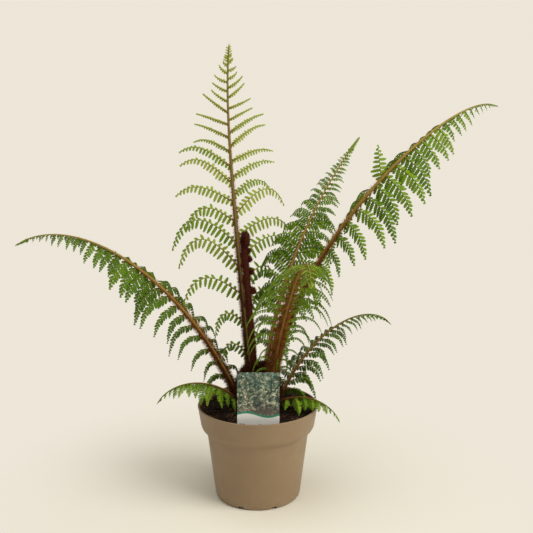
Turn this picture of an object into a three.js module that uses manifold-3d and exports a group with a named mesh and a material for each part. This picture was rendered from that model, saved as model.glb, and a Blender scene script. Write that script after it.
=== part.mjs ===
// A young tree fern in a nursery pot: a short hairy crown set in potting soil, eight fronds that
// rise from it and arch over, one frond still coiled, and a plastic plant label.
// Millimetres, +Z up. The origin is the middle of the pot's flat underside, and -Y is the front.
import * as THREE from "three";
import { mergeVertices } from "three/addons/utils/BufferGeometryUtils.js";
import Module from "manifold-3d";

// Pot, turned round the Z axis: a tapered body, a step and a taller band under the lip
const POT_HEIGHT = 150;
const POT_SIDES = 36;
const LIP_RADIUS = 95;
const LIP_WIDTH = 2.6;
const LIP_HEIGHT = 4;
const BAND_HEIGHT = 35;
const BAND_FOOT_RADIUS = 89.5;
const STEP_HEIGHT = 9;
const BODY_TOP_RADIUS = 80.5;
const BASE_RADIUS = 68;
const BASE_ROUND = 5;
const WALL = 1.8;
const FLOOR = 2.6;
const DRAIN_COUNT = 8;
const DRAIN = { radius: 65, long: 15, wide: 9, high: 4.5 };

// Soil, filled to a little below the lip
const SOIL_LEVEL = 145;
const SOIL_FLAT_RADIUS = 38;
const SOIL_SWELL = 2.2;

// Gap that every piece keeps to its neighbour
const GAP = 0.3;

// Crown, the short upright stem that all the fronds grow from
const CROWN_TOP = 210;
const CROWN_RADIUS = 31;
const CROWN_RIDGES = 7;
const CROWN_RIDGE_DEPTH = 0.06;
const CROWN_SIDES = 28;

// Label, a plastic card with a stake that is pushed into the soil
const LABEL = { x: 1.7, y: -76, top: 225, width: 63, thick: 0.8, cardFoot: 134, corner: 3 };
const STAKE = { width: 24, foot: 98 };

// Crozier, the frond that is still coiled. Its fists sit below the neck, each step further apart by growth,
// in a row that stands out to the right and a row that is tucked in on the left.
const CROZIER = { foot: [-1, -4, 170], neck: [-22.5, 46, 402] };
const CROZIER_RADIUS = { foot: 3.6, neck: 5.2, tip: 1.8 };
const CROZIER_SIDES = 6;
const COIL = { azimuth: -70, radius: 12, shrink: 1.25, turn: 7.4 };
const FISTS = {
  count: 4, first: 15, spacing: 13.5, growth: 1.5, radius: [5, 7], reach: [6, 8], tucked: 0.4,
};

// Fronds: azimuth is counted from +X towards +Y, and each rib starts at its foot.
// Along a rib the slope is rise - arch t - nod t^NOD_POWER degrees, and the azimuth turns by sweep.
// Leaflets start at the share first and are longest at the share widest. From there to the tip they
// shrink as (1 - x^bow)^taper, and stand closer together the smaller crowding is.
// A frond that arches far over is split into two nodes after the pair splitPair.
// The leaflet with the number lifted is short and stands up from its rib in place of hanging.
// A frond with a roll is turned about its rib, left side down, by one angle at its foot and one at its tip.
const NOD_POWER = 6;
const RIB_STEPS = 20;
const RIB_SIDES = 4;
const RIB_TIP_SHARE = 0.14;
const PAIR_OFFSET = 0.35;
const SPLIT_OFFSET = 0.675;
const DROOP_POWER = 2.5;
const LEAST_LEAFLET = 4;
const LIFT = { rise: 1.1, length: 0.62 };
const FRONDS = [
  {
    name: "frond_upright",
    foot: [-9, 8, 166.5], length: 560, ribRadius: 4.6, ribTip: 0.3,
    azimuth: 110, sweep: 0, rise: 71.7, arch: -5.5, nod: -30,
    pairs: 20, crowding: 0.18, first: 0.1, widest: 0.34, footShare: 0.5, bow: 1.4, taper: 1.1,
    leaflet: 134, blade: 10, angle: [34, 68], hang: [0, 0], droop: [6, -1.5],
  },
  {
    name: "frond_long_right",
    foot: [20.5, -5, 165], length: 675, ribRadius: 4.8, splitPair: 8,
    azimuth: -30, sweep: 80, rise: 81.2, arch: 61, nod: 30.5, roll: [0, -45],
    pairs: 30, crowding: 0.5, first: 0.1, widest: 0.58, footShare: 0.55, bow: 1, taper: 1.15,
    leaflet: 78, blade: 10.5, angle: [70, 62], hang: [0.1, 0.9], droop: [5, 2], lifted: 24,
  },
  {
    name: "frond_left",
    foot: [-28, 1.5, 149], length: 495, ribRadius: 4.6, splitPair: 7,
    azimuth: 140, sweep: 50, rise: 58.7, arch: 39.3, nod: 53.7, roll: [5, 45],
    pairs: 27, crowding: 0.55, first: 0.1, widest: 0.44, footShare: 0.7, bow: 1, taper: 1.05,
    leaflet: 74, blade: 10, angle: [72, 60], hang: [-0.2, 0.9], droop: [6, 2],
  },
  {
    name: "frond_back_right",
    foot: [7, 8, 165.5], length: 472, ribRadius: 3.7,
    azimuth: 45, sweep: 0, rise: 81.2, arch: 44.5, nod: -4.5, roll: [-30, -30],
    pairs: 36, crowding: 0.35, first: 0.16, widest: 0.4, footShare: 0.5, bow: 1, taper: 1.25,
    leaflet: 76, blade: 8.5, angle: [72, 60], hang: [-0.2, 0], droop: [6, 0.5],
  },
  {
    name: "frond_small_right",
    foot: [31.3, 3.5, 147.8], length: 290, ribRadius: 3.2,
    azimuth: 50, sweep: -30, rise: 53.8, arch: 49.7, nod: 57.7,
    pairs: 24, crowding: 1, first: 0.06, widest: 0.12, footShare: 0.9, bow: 1, taper: 0.95,
    leaflet: 66, blade: 8, angle: [66, 58], hang: [-0.3, 0.5], droop: [6, 2],
  },
  {
    name: "frond_front",
    foot: [17, -12.5, 159.5], length: 390, ribRadius: 4.4, splitPair: 9,
    azimuth: -60, sweep: -29, rise: 79, arch: 53.5, nod: 76,
    pairs: 26, crowding: 1, first: 0.13, widest: 0.45, footShare: 0.6, bow: 1, taper: 0.8,
    leaflet: 80, blade: 9, angle: [84, 62], hang: [-0.45, 0.2], droop: [6, 1.5],
  },
  {
    name: "frond_low_left",
    foot: [-23, -11, 146], length: 163, ribRadius: 2.4,
    azimuth: 200, sweep: 2, rise: 60, arch: 92, nod: 27,
    pairs: 12, crowding: 1, first: 0.14, widest: 0.36, footShare: 0.6, bow: 1, taper: 0.9,
    leaflet: 44, blade: 6.5, angle: [72, 58], hang: [0.2, 0.5], droop: [2, 1],
  },
  {
    name: "frond_low_right",
    foot: [24, -16, 150], length: 124, ribRadius: 2.2,
    azimuth: -17, sweep: 0, rise: 44, arch: 98, nod: 12,
    pairs: 9, crowding: 1, first: 0.16, widest: 0.32, footShare: 0.6, bow: 1, taper: 0.9,
    leaflet: 32, blade: 6.5, angle: [70, 58], hang: [0.2, 0.5], droop: [2, 1],
  },
];

// A leaflet blade is a low ridge with two thin edges
const BLADE_STATIONS = [0, 0.36, 0.66, 1];
const SHORT_BLADE_STATIONS = [0, 0.4, 1];
const SHORT_BLADE = 28;
const BLADE_STEPS = 16;
const BLADE_STALK = 0.16;
const BLADE_RIDGE = 0.2;
const BLADE_LEAST_RIDGE = 1.1;
const BLADE_SHARES = [1, 0.72, 0.46];
const BLADE_SAG = 0.22;
const JITTER = { angle: 10, length: 0.16, droop: 0.4 };
const GOLDEN = 0.6180339887;
const SIMPLIFY = 0.05;

const UP = new THREE.Vector3(0, 0, 1);
const radians = THREE.MathUtils.degToRad;
const mix = THREE.MathUtils.lerp;

const wasm = await Module();
wasm.setup();

// Closed geometry to solid and back

function solidOf(geometry) {
  const bare = geometry.clone();
  bare.deleteAttribute("normal");
  bare.deleteAttribute("uv");
  const merged = mergeVertices(bare, 1e-3);
  return new wasm.Manifold(
    new wasm.Mesh({
      numProp: 3,
      vertProperties: merged.attributes.position.array,
      triVerts: new Uint32Array(merged.index.array),
    }),
  );
}

function geometryOf(solid) {
  const { numVert, numProp, vertProperties, triVerts } = solid.getMesh();
  const positions = new Float32Array(numVert * 3);
  for (let i = 0; i < numVert; i++)
    positions.set(vertProperties.subarray(i * numProp, i * numProp + 3), i * 3);
  const geometry = new THREE.BufferGeometry();
  geometry.setAttribute("position", new THREE.BufferAttribute(positions, 3));
  geometry.setIndex(new THREE.BufferAttribute(triVerts, 1));
  geometry.computeVertexNormals();
  return geometry;
}

function largestBody(solid) {
  return solid.decompose().reduce((best, body) => (body.volume() > best.volume() ? body : best));
}

// Solid through rings of points, all with the same count, closed by a fan at each end
function loft(rings) {
  const count = rings[0].length;
  const positions = [];
  const triangle = (a, b, c) => positions.push(...a.toArray(), ...b.toArray(), ...c.toArray());
  for (let k = 0; k + 1 < rings.length; k++)
    for (let i = 0; i < count; i++) {
      const j = (i + 1) % count;
      const [a, b, c, d] = [rings[k][i], rings[k][j], rings[k + 1][j], rings[k + 1][i]];
      if (!c.equals(d)) triangle(a, c, d);
      triangle(a, b, c);
    }
  const last = rings[rings.length - 1];
  for (let i = 1; i + 1 < count; i++) {
    triangle(rings[0][0], rings[0][i + 1], rings[0][i]);
    if (!last[0].equals(last[1])) triangle(last[0], last[i], last[i + 1]);
  }
  const geometry = new THREE.BufferGeometry();
  geometry.setAttribute("position", new THREE.Float32BufferAttribute(positions, 3));
  return geometry;
}

// Ring of points round a centre, in the plane of the directions x and y
function ringOf(centre, x, y, radius, sides) {
  return Array.from({ length: sides }, (_, i) => {
    const angle = (2 * Math.PI * i) / sides;
    const out = x.clone().multiplyScalar(Math.cos(angle)).addScaledVector(y, Math.sin(angle));
    return centre.clone().addScaledVector(out, radius);
  });
}

// Profile of [radius, height] pairs turned round the Z axis
function turned(profile, sides) {
  const points = profile.map(([radius, height]) => new THREE.Vector2(radius, height));
  return new THREE.LatheGeometry(points, sides).rotateX(Math.PI / 2);
}

// Pot and soil

function potProfile() {
  const bodyTop = POT_HEIGHT - BAND_HEIGHT - STEP_HEIGHT;
  const bandFoot = POT_HEIGHT - BAND_HEIGHT;
  const lipFoot = POT_HEIGHT - LIP_HEIGHT;
  const corner = [0, 45, 90].map((degrees) => [
    BASE_RADIUS - BASE_ROUND * (1 - Math.sin(radians(degrees))),
    BASE_ROUND * (1 - Math.cos(radians(degrees))),
  ]);
  const outside = [
    [0, 0],
    ...corner,
    [BODY_TOP_RADIUS, bodyTop],
    [BAND_FOOT_RADIUS, bandFoot],
    [LIP_RADIUS - 0.7, lipFoot],
    [LIP_RADIUS, lipFoot + 0.8],
    [LIP_RADIUS, POT_HEIGHT],
  ];
  const inside = [
    [LIP_RADIUS - LIP_WIDTH, POT_HEIGHT],
    [LIP_RADIUS - LIP_WIDTH, lipFoot],
    [BAND_FOOT_RADIUS - WALL, bandFoot + 1],
    [BODY_TOP_RADIUS - WALL, bodyTop],
    [BASE_RADIUS - WALL, FLOOR + BASE_ROUND],
    [BASE_RADIUS - BASE_ROUND, FLOOR],
    [0, FLOOR],
  ];
  return { outside, inside };
}

function potSolid() {
  const { outside, inside } = potProfile();
  let pot = solidOf(turned([...outside, ...inside], POT_SIDES));
  for (let i = 0; i < DRAIN_COUNT; i++) {
    const drain = new THREE.BoxGeometry(DRAIN.long, DRAIN.wide, 2 * DRAIN.high);
    drain.translate(DRAIN.radius, 0, 0).rotateZ((2 * Math.PI * (i + 0.5)) / DRAIN_COUNT);
    pot = pot.subtract(solidOf(drain));
  }
  return pot;
}

// Height of the soil's surface: level in the middle, where the crown stands, and uneven towards the wall
function soilHeight(x, y) {
  const radius = Math.hypot(x, y);
  const share = THREE.MathUtils.smoothstep(radius, SOIL_FLAT_RADIUS, LIP_RADIUS);
  const wave = Math.sin(x * 0.11 + 1.3) * Math.cos(y * 0.13 - 0.4) + 0.6 * Math.sin(x * 0.21 - y * 0.17);
  return SOIL_LEVEL + share * SOIL_SWELL * (wave - 1.2);
}

function soilSolid() {
  const wall = potProfile().inside.slice(2, -1).reverse();
  const level = SOIL_LEVEL - 2 * SOIL_SWELL;
  const [low, high] = [wall[wall.length - 1], potProfile().inside[1]];
  const rimRadius = mix(low[0], high[0], (level - low[1]) / (high[1] - low[1]));
  const side = [...wall, [rimRadius, level]].map(([radius, height]) => [radius - GAP, height + GAP]);
  const surface = [72, 54, SOIL_FLAT_RADIUS, 0].map((radius) => [radius, SOIL_LEVEL]);
  const geometry = turned([[0, FLOOR + GAP], ...side, ...surface], POT_SIDES);
  const position = geometry.attributes.position;
  for (let i = 0; i < position.count; i++)
    if (position.getZ(i) > level - 1) position.setZ(i, soilHeight(position.getX(i), position.getY(i)));
  return solidOf(geometry).subtract(solidOf(labelGeometry(GAP)));
}

// Label

function labelGeometry(grown) {
  const half = LABEL.width / 2 + grown;
  const stake = STAKE.width / 2 + grown;
  const top = LABEL.top + grown;
  const outline = new THREE.Shape();
  outline.moveTo(0, STAKE.foot - 2 * grown);
  outline.lineTo(stake, STAKE.foot + STAKE.width / 2);
  outline.lineTo(stake, LABEL.cardFoot - grown);
  outline.lineTo(half, LABEL.cardFoot - grown);
  outline.lineTo(half, top - LABEL.corner);
  outline.absarc(half - LABEL.corner, top - LABEL.corner, LABEL.corner, 0, Math.PI / 2);
  outline.lineTo(LABEL.corner - half, top);
  outline.absarc(LABEL.corner - half, top - LABEL.corner, LABEL.corner, Math.PI / 2, Math.PI);
  outline.lineTo(-half, LABEL.cardFoot - grown);
  outline.lineTo(-stake, LABEL.cardFoot - grown);
  outline.lineTo(-stake, STAKE.foot + STAKE.width / 2);
  const depth = LABEL.thick + 2 * grown;
  const card = new THREE.ExtrudeGeometry(outline, { depth, bevelEnabled: false, curveSegments: 3 });
  return card.rotateX(Math.PI / 2).translate(LABEL.x, LABEL.y + depth / 2, 0);
}

// Crown

function crownSolid(grown) {
  const foot = SOIL_LEVEL + GAP - grown;
  const height = CROWN_TOP - foot;
  const shape = [[0, 0], [0.97, 0], [1, 0.16], [0.94, 0.45], [0.78, 0.74], [0.45, 0.94], [0, 1]];
  const profile = shape.map(([radius, share]) => [
    radius ? radius * CROWN_RADIUS + grown : 0,
    foot + share * (height + grown),
  ]);
  const geometry = turned(profile, CROWN_SIDES);
  const position = geometry.attributes.position;
  for (let i = 0; i < position.count; i++) {
    const [x, y] = [position.getX(i), position.getY(i)];
    const ridge = 1 + CROWN_RIDGE_DEPTH * Math.cos(CROWN_RIDGES * Math.atan2(y, x));
    position.setX(i, x * ridge);
    position.setY(i, y * ridge);
  }
  return solidOf(geometry);
}

// Crozier: a stalk that ends in a coil, with the leaflets still rolled into small fists along it

function crozierSolid() {
  const [foot, neck] = [CROZIER.foot, CROZIER.neck].map((place) => new THREE.Vector3(...place));
  const along = neck.clone().sub(foot).normalize();
  const inward = new THREE.Vector3(Math.cos(radians(COIL.azimuth)), Math.sin(radians(COIL.azimuth)), 0);
  inward.addScaledVector(along, -inward.dot(along)).normalize();
  const across = inward.clone().cross(along);
  const points = [];
  const radii = [];
  const stalkRings = 9;
  for (let k = 0; k < stalkRings; k++) {
    points.push(foot.clone().lerp(neck, k / stalkRings));
    radii.push(mix(CROZIER_RADIUS.foot, CROZIER_RADIUS.neck, k / stalkRings));
  }
  const coilRings = 19;
  for (let k = 0; k <= coilRings; k++) {
    const turn = (COIL.turn * k) / coilRings;
    const radius = COIL.radius - COIL.shrink * turn;
    const point = neck.clone().addScaledVector(inward, COIL.radius - radius * Math.cos(turn));
    points.push(point.addScaledVector(along, radius * Math.sin(turn)));
    radii.push(mix(CROZIER_RADIUS.neck, CROZIER_RADIUS.tip, k / coilRings));
  }
  const rings = points.map((point, k) => {
    const ahead = points[Math.min(k + 1, points.length - 1)].clone().sub(points[Math.max(k - 1, 0)]);
    ahead.addScaledVector(across, -ahead.dot(across)).normalize();
    return ringOf(point, across, ahead.cross(across), radii[k], CROZIER_SIDES);
  });
  let crozier = solidOf(loft(rings));
  for (let i = 0; i < 2 * FISTS.count; i++) {
    const step = i / 2;
    const below = FISTS.first + (FISTS.spacing * (FISTS.growth ** step - 1)) / (FISTS.growth - 1);
    const side = i % 2 ? FISTS.tucked : -1;
    const share = step / FISTS.count;
    const place = neck.clone().addScaledVector(along, -below);
    place.addScaledVector(across, side * mix(...FISTS.reach, share));
    const fist = new THREE.IcosahedronGeometry(mix(...FISTS.radius, share), 0).scale(1, 0.85, 1.15);
    crozier = crozier.add(solidOf(fist.translate(place.x, place.y, place.z)));
  }
  return largestBody(crozier.subtract(crownSolid(GAP)));
}

// Fronds

// A frond's rib: its place, its direction, its left side and its radius at any share of its length
function ribOf(frond) {
  const slopeAt = (t) => radians(frond.rise - frond.arch * t - frond.nod * t ** NOD_POWER);
  const headingAt = (t) => radians(frond.azimuth + frond.sweep * t);
  const alongAt = (t) => {
    const [slope, heading] = [slopeAt(t), headingAt(t)];
    return new THREE.Vector3(
      Math.cos(slope) * Math.cos(heading),
      Math.cos(slope) * Math.sin(heading),
      Math.sin(slope),
    );
  };
  const points = [new THREE.Vector3(...frond.foot)];
  const step = frond.length / RIB_STEPS;
  for (let i = 0; i < RIB_STEPS; i++)
    points.push(points[i].clone().addScaledVector(alongAt((i + 0.5) / RIB_STEPS), step));
  const pointAt = (t) => {
    const i = Math.min(Math.floor(t * RIB_STEPS), RIB_STEPS - 1);
    return points[i].clone().lerp(points[i + 1], t * RIB_STEPS - i);
  };
  const rollAt = (t) => radians(mix(...(frond.roll ?? [0, 0]), t));
  const sideAt = (t) => {
    const level = new THREE.Vector3(-Math.sin(headingAt(t)), Math.cos(headingAt(t)), 0);
    const face = alongAt(t).cross(level);
    return level.multiplyScalar(Math.cos(rollAt(t))).addScaledVector(face, -Math.sin(rollAt(t)));
  };
  const radiusAt = (t) => frond.ribRadius * mix(1, frond.ribTip ?? RIB_TIP_SHARE, t);
  return { pointAt, alongAt, sideAt, radiusAt };
}

function ribSolid(rib, from, to) {
  const steps = Array.from({ length: RIB_STEPS + 1 }, (_, i) => i / RIB_STEPS);
  const shares = [from, ...steps.filter((t) => t > from && t < to), to];
  const rings = shares.map((t) => {
    const side = rib.sideAt(t);
    return ringOf(rib.pointAt(t), side, rib.alongAt(t).cross(side), rib.radiusAt(t), RIB_SIDES);
  });
  return solidOf(loft(rings));
}

// Even scatter from -1 to 1 that is the same on every run
function scatter(index, seed) {
  const value = (index + 1) * GOLDEN + seed * 0.377;
  return 2 * (value - Math.floor(value)) - 1;
}

// Share of the rib's length at a step, counted in pairs from the first leaflet
function shareAtStep(frond, step) {
  const reach = 1 - frond.first + frond.crowding;
  return 1 + frond.crowding - reach * (frond.crowding / reach) ** (step / frond.pairs);
}

// Length of a leaflet at a share of the rib, against the longest one
function lengthShare(frond, t) {
  if (t < frond.widest) {
    const rising = THREE.MathUtils.smoothstep(t, frond.first, frond.widest);
    return mix(frond.footShare, 1, rising);
  }
  const x = (t - frond.widest) / (1 - frond.widest);
  return (1 - x ** frond.bow) ** frond.taper;
}

// Every leaflet of a frond: where it leaves the rib, how long it is and which way it sets out and droops
function leafletsOf(frond, rib) {
  const leaflets = [];
  for (let index = 0; index < 2 * frond.pairs; index++) {
    const side = index % 2 ? -1 : 1;
    const t = shareAtStep(frond, Math.floor(index / 2) + (index % 2) * PAIR_OFFSET);
    const lifted = index === frond.lifted;
    const fullLength = frond.leaflet * lengthShare(frond, t) * (1 + JITTER.length * scatter(index, 1));
    const length = fullLength * (lifted ? LIFT.length : 1);
    if (length < LEAST_LEAFLET) continue;
    const angle = radians(mix(...frond.angle, t) + JITTER.angle * scatter(index, 2));
    const along = rib.alongAt(t);
    const start = along.clone().multiplyScalar(Math.cos(angle));
    start.addScaledVector(rib.sideAt(t), side * Math.sin(angle));
    const hang = lifted ? -LIFT.rise : mix(...frond.hang, t);
    const droop = lifted ? 0 : mix(...frond.droop, t) * (1 + JITTER.droop * scatter(index, 3));
    leaflets.push({ t, side, root: rib.pointAt(t), along, start, length, hang, droop });
  }
  return leaflets;
}

// A leaflet's midrib: points and directions at each of its stations
function midribOf(leaflet, length, stations) {
  const heading = (u) => {
    const sink = leaflet.hang + leaflet.droop * u ** DROOP_POWER;
    return leaflet.start.clone().addScaledVector(UP, -sink).normalize();
  };
  const points = [leaflet.root.clone()];
  const step = length / BLADE_STEPS;
  for (let i = 0; i < BLADE_STEPS; i++)
    points.push(points[i].clone().addScaledVector(heading((i + 0.5) / BLADE_STEPS), step));
  return stations.map((u) => {
    const i = Math.min(Math.floor(u * BLADE_STEPS), BLADE_STEPS - 1);
    return { u, point: points[i].clone().lerp(points[i + 1], u * BLADE_STEPS - i), heading: heading(u) };
  });
}

// Half the width of a blade along its length: a stalk, a full middle and a drawn-out tip
function bladeShape(u) {
  return u < BLADE_STALK ? 0.3 + (0.5 * u) / BLADE_STALK : Math.min(1, 0.8 + u) * (1 - u) ** 0.75;
}

function bladeSolid(frond, leaflet, share) {
  const length = leaflet.length * share;
  const stations = length < SHORT_BLADE ? SHORT_BLADE_STATIONS : BLADE_STATIONS;
  const fullWidth = frond.blade * Math.min(1, (2 * length) / frond.leaflet) ** 0.8;
  const rings = midribOf(leaflet, length, stations).map(({ u, point, heading }) => {
    if (u === 1) return [point, point, point];
    const across = leaflet.along.clone().addScaledVector(heading, -leaflet.along.dot(heading)).normalize();
    const face = heading.clone().cross(across).multiplyScalar(-leaflet.side);
    const half = fullWidth * bladeShape(u);
    const ridge = point.clone().addScaledVector(face, Math.max(BLADE_LEAST_RIDGE, BLADE_RIDGE * half));
    const middle = point.clone().addScaledVector(face, -BLADE_SAG * half);
    const edge = (sign) => middle.clone().addScaledVector(across, sign * leaflet.side * half);
    return [ridge, edge(1), edge(-1)];
  });
  return solidOf(loft(rings));
}

function boxesApart(a, b) {
  return [0, 1, 2].some((i) => a.min[i] > b.max[i] + GAP || b.min[i] > a.max[i] + GAP);
}

function clearOf(solid, others) {
  const box = solid.boundingBox();
  return others.every((other) => boxesApart(box, other.box) || solid.minGap(other.solid, 2 * GAP) >= GAP);
}

const boxed = (solid) => ({ solid, box: solid.boundingBox() });

// Stretches of a frond that are nodes of their own
function stretchesOf(frond) {
  if (!frond.splitPair) return [{ name: frond.name, from: 0, to: 1 }];
  const split = shareAtStep(frond, frond.splitPair + SPLIT_OFFSET);
  const half = GAP / 2 / frond.length;
  return [
    { name: frond.name, from: 0, to: split - half },
    { name: `${frond.name}_tip`, from: split + half, to: 1 },
  ];
}

// All fronds. A leaflet that would touch another piece is shortened, and left out if that doesn't clear it.
function frondSolids(neighbours) {
  const stretches = FRONDS.flatMap((frond) => {
    const rib = ribOf(frond);
    const leaflets = leafletsOf(frond, rib);
    return stretchesOf(frond).map(({ name, from, to }) => ({
      name,
      frond,
      leaflets: leaflets.filter(({ t }) => t > from && t < to),
      pieces: [boxed(ribSolid(rib, from, to))],
    }));
  });
  for (const stretch of stretches) {
    const others = stretches.filter((other) => other !== stretch).flatMap((other) => other.pieces);
    for (const leaflet of stretch.leaflets) {
      const blades = BLADE_SHARES.map((share) => bladeSolid(stretch.frond, leaflet, share));
      const blade = blades.find((trial) => clearOf(trial, [...neighbours, ...others]));
      if (blade) stretch.pieces.push(boxed(blade));
    }
  }
  const crown = crownSolid(GAP);
  return stretches.map(({ name, frond, pieces }) => {
    const joined = wasm.Manifold.union(pieces.map((piece) => piece.solid)).subtract(crown);
    return { name, frond, solid: largestBody(joined).simplify(SIMPLIFY) };
  });
}

// Materials and assembly

const material = (color, roughness) => new THREE.MeshStandardMaterial({ color, roughness, metalness: 0 });
const potPlastic = material(0x92795b, 0.45);
const pottingSoil = material(0x2a1a10, 0.95);
const crownHair = material(0x3a1a0c, 0.9);
const crozierHair = material(0x3d120b, 0.85);
const deepGreen = material(0x3f6b1f, 0.6);
const youngGreen = material(0x86a03e, 0.6);
const cardPlastic = material(0xc4cbb8, 0.4);
const YOUNG_FRONDS = ["frond_upright", "frond_low_left", "frond_low_right"];

const fern = new THREE.Group();

function place(name, solid, finish) {
  const mesh = new THREE.Mesh(geometryOf(solid), finish);
  mesh.name = name;
  fern.add(mesh);
  return boxed(solid);
}

const neighbours = [
  place("pot", potSolid(), potPlastic),
  place("soil", soilSolid(), pottingSoil),
  place("label", solidOf(labelGeometry(0)), cardPlastic),
  place("crozier", crozierSolid(), crozierHair),
];
const crown = place("crown", crownSolid(0), crownHair);
for (const { name, frond, solid } of frondSolids([...neighbours, crown]))
  place(name, solid, YOUNG_FRONDS.includes(frond.name) ? youngGreen : deepGreen);

export default fern;
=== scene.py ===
"""A young tree fern in a nursery pot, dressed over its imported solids.

Sizes are in millimetres until a mesh is made, and in metres in the materials and the studio.
"""

import math

import bpy
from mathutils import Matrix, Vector, noise


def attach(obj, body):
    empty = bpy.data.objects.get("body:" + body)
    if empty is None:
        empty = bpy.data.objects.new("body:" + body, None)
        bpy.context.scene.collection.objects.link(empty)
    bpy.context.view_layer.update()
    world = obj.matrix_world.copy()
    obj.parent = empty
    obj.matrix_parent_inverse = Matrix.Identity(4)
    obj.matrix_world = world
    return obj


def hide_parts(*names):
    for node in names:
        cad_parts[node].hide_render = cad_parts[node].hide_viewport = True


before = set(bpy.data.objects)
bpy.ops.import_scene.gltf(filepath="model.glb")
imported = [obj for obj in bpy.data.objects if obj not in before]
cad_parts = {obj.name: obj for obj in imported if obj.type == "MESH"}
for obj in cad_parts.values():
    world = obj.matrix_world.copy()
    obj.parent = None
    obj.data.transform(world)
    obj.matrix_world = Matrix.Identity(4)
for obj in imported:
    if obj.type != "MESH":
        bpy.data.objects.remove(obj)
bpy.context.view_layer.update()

# Pot: a nursery pot with a wide band under its lip, a small step and a tapered body.
# It is injection moulded in one piece from taupe polypropylene with a satin skin, and it stands on
# its flat underside, where eight drain notches are cut into the foot.
MM = 0.001
# Radius, height and reach of the rounding at each corner: underside, outside, lip, inside and inner floor
POT_CORNERS = [
    (0, 0, 0), (67.4, 0, 5), (80.5, 106, 2.5), (89.5, 115, 5), (94.6, 146.6, 0.8), (95, 147.4, 0.4),
    (95, 150, 1), (92.4, 150, 1), (92.2, 145, 1), (87.7, 116, 3), (78.7, 106, 2), (66, 8, 3),
    (63, 2.6, 2), (0, 2.6, 0),
]
POT_SEGMENTS = 144
POT_SHARP_ANGLE = 32
DRAINS = {"count": 8, "ring": 65, "size": (15, 9, 9)}
TAUPE = (0.300, 0.204, 0.114)
TAUPE_SHADE = (0.262, 0.174, 0.094)
POT_DUST = (0.36, 0.29, 0.21)
POT_SPECK = (0.16, 0.10, 0.06)


def rounded(corners, steps=4):
    """Rounds each corner of a profile by the reach that it gives along both of its sides."""
    points = []
    for i, (radius, height, reach) in enumerate(corners):
        here = Vector((radius, height))
        if not reach:
            points.append(here)
            continue
        first, last = (here + (Vector(corners[j][:2]) - here).normalized() * reach for j in (i - 1, i + 1))
        for k in range(steps + 1):
            share = k / steps
            points.append(first.lerp(here, share).lerp(here.lerp(last, share), share))
    return points


def turned(profile, segments):
    """Turns a profile that starts and ends on the Z axis into the points and faces of a closed mesh."""
    points = [(0, 0, profile[0][1]), (0, 0, profile[-1][1])]
    for radius, height in profile[1:-1]:
        for k in range(segments):
            angle = 2 * math.pi * k / segments
            points.append((radius * math.cos(angle), radius * math.sin(angle), height))
    faces = []
    top = (len(profile) - 3) * segments
    for k in range(segments):
        a, b = 2 + k, 2 + (k + 1) % segments
        faces += [(0, b, a), (1, a + top, b + top)]
        for i in range(0, top, segments):
            faces.append((a + i, b + i, b + i + segments, a + i + segments))
    return points, faces


def new_piece(name, points, faces, edges=(), values=None):
    """Makes an object at the origin from points in millimetres, with named values that its points carry."""
    mesh = bpy.data.meshes.new(name)
    mesh.from_pydata([tuple(c * MM for c in point) for point in points], edges, faces, shade_flat=False)
    for label, numbers in (values or {}).items():
        vectors = hasattr(numbers[0], "__len__")
        attribute = mesh.attributes.new(label, "FLOAT_VECTOR" if vectors else "FLOAT", "POINT")
        for item, number in zip(attribute.data, numbers):
            if vectors:
                item.vector = number
            else:
                item.value = number
    piece = bpy.data.objects.new(name, mesh)
    bpy.context.scene.collection.objects.link(piece)
    return piece


def add_node(tree, kind, inputs=None, **settings):
    """Adds a node, with its inputs given by name or place as values or as the sockets that feed them."""
    node = tree.nodes.new(kind)
    for label, value in settings.items():
        setattr(node, label, value)
    for key, value in (inputs or {}).items():
        socket = node.inputs[key]
        if isinstance(value, bpy.types.NodeSocket):
            tree.links.new(value, socket)
        else:
            socket.default_value = (*value, 1) if socket.type == "RGBA" else value
    return node


def made(tree, kind, inputs=None, **settings):
    """Adds a node and gives the socket of its first output."""
    return add_node(tree, kind, inputs, **settings).outputs[0]


def calc(tree, operation, *values, clamp=False):
    """Does one step of arithmetic on numbers or sockets and gives the socket of the result."""
    return made(tree, "ShaderNodeMath", dict(enumerate(values)), operation=operation, use_clamp=clamp)


def instances(tree, points, pattern, rotation, scale=(1.0, 1.0, 1.0)):
    """Sets a pattern on every point and gives the socket of all of them."""
    inputs = {"Points": points, "Instance": pattern, "Rotation": rotation, "Scale": scale}
    return made(tree, "GeometryNodeInstanceOnPoints", inputs)


def new_tree(name, kind, inputs, outputs):
    """Starts a group of nodes with named sockets; gives it, its input sockets and its output node."""
    tree = bpy.data.node_groups.new(name, kind)
    for way, sockets in (("INPUT", inputs), ("OUTPUT", outputs)):
        for label, socket in sockets.items():
            tree.interface.new_socket(label, in_out=way, socket_type="NodeSocket" + socket)
    return tree, tree.nodes.new("NodeGroupInput").outputs, tree.nodes.new("NodeGroupOutput")


def new_grower(name, **inputs):
    """Starts a group of nodes that makes one geometry from another, with a material and its own inputs."""
    inputs = {"Geometry": "Geometry", **inputs, "Material": "Material"}
    return new_tree(name, "GeometryNodeTree", inputs, {"Geometry": "Geometry"})


def close_grower(tree, geometry, given, end):
    """Ends such a group: its instances become real and take their material."""
    real = made(tree, "GeometryNodeRealizeInstances", {"Geometry": geometry})
    painted = made(tree, "GeometryNodeSetMaterial", {"Geometry": real, "Material": given["Material"]})
    tree.links.new(painted, end.inputs[0])


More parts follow.
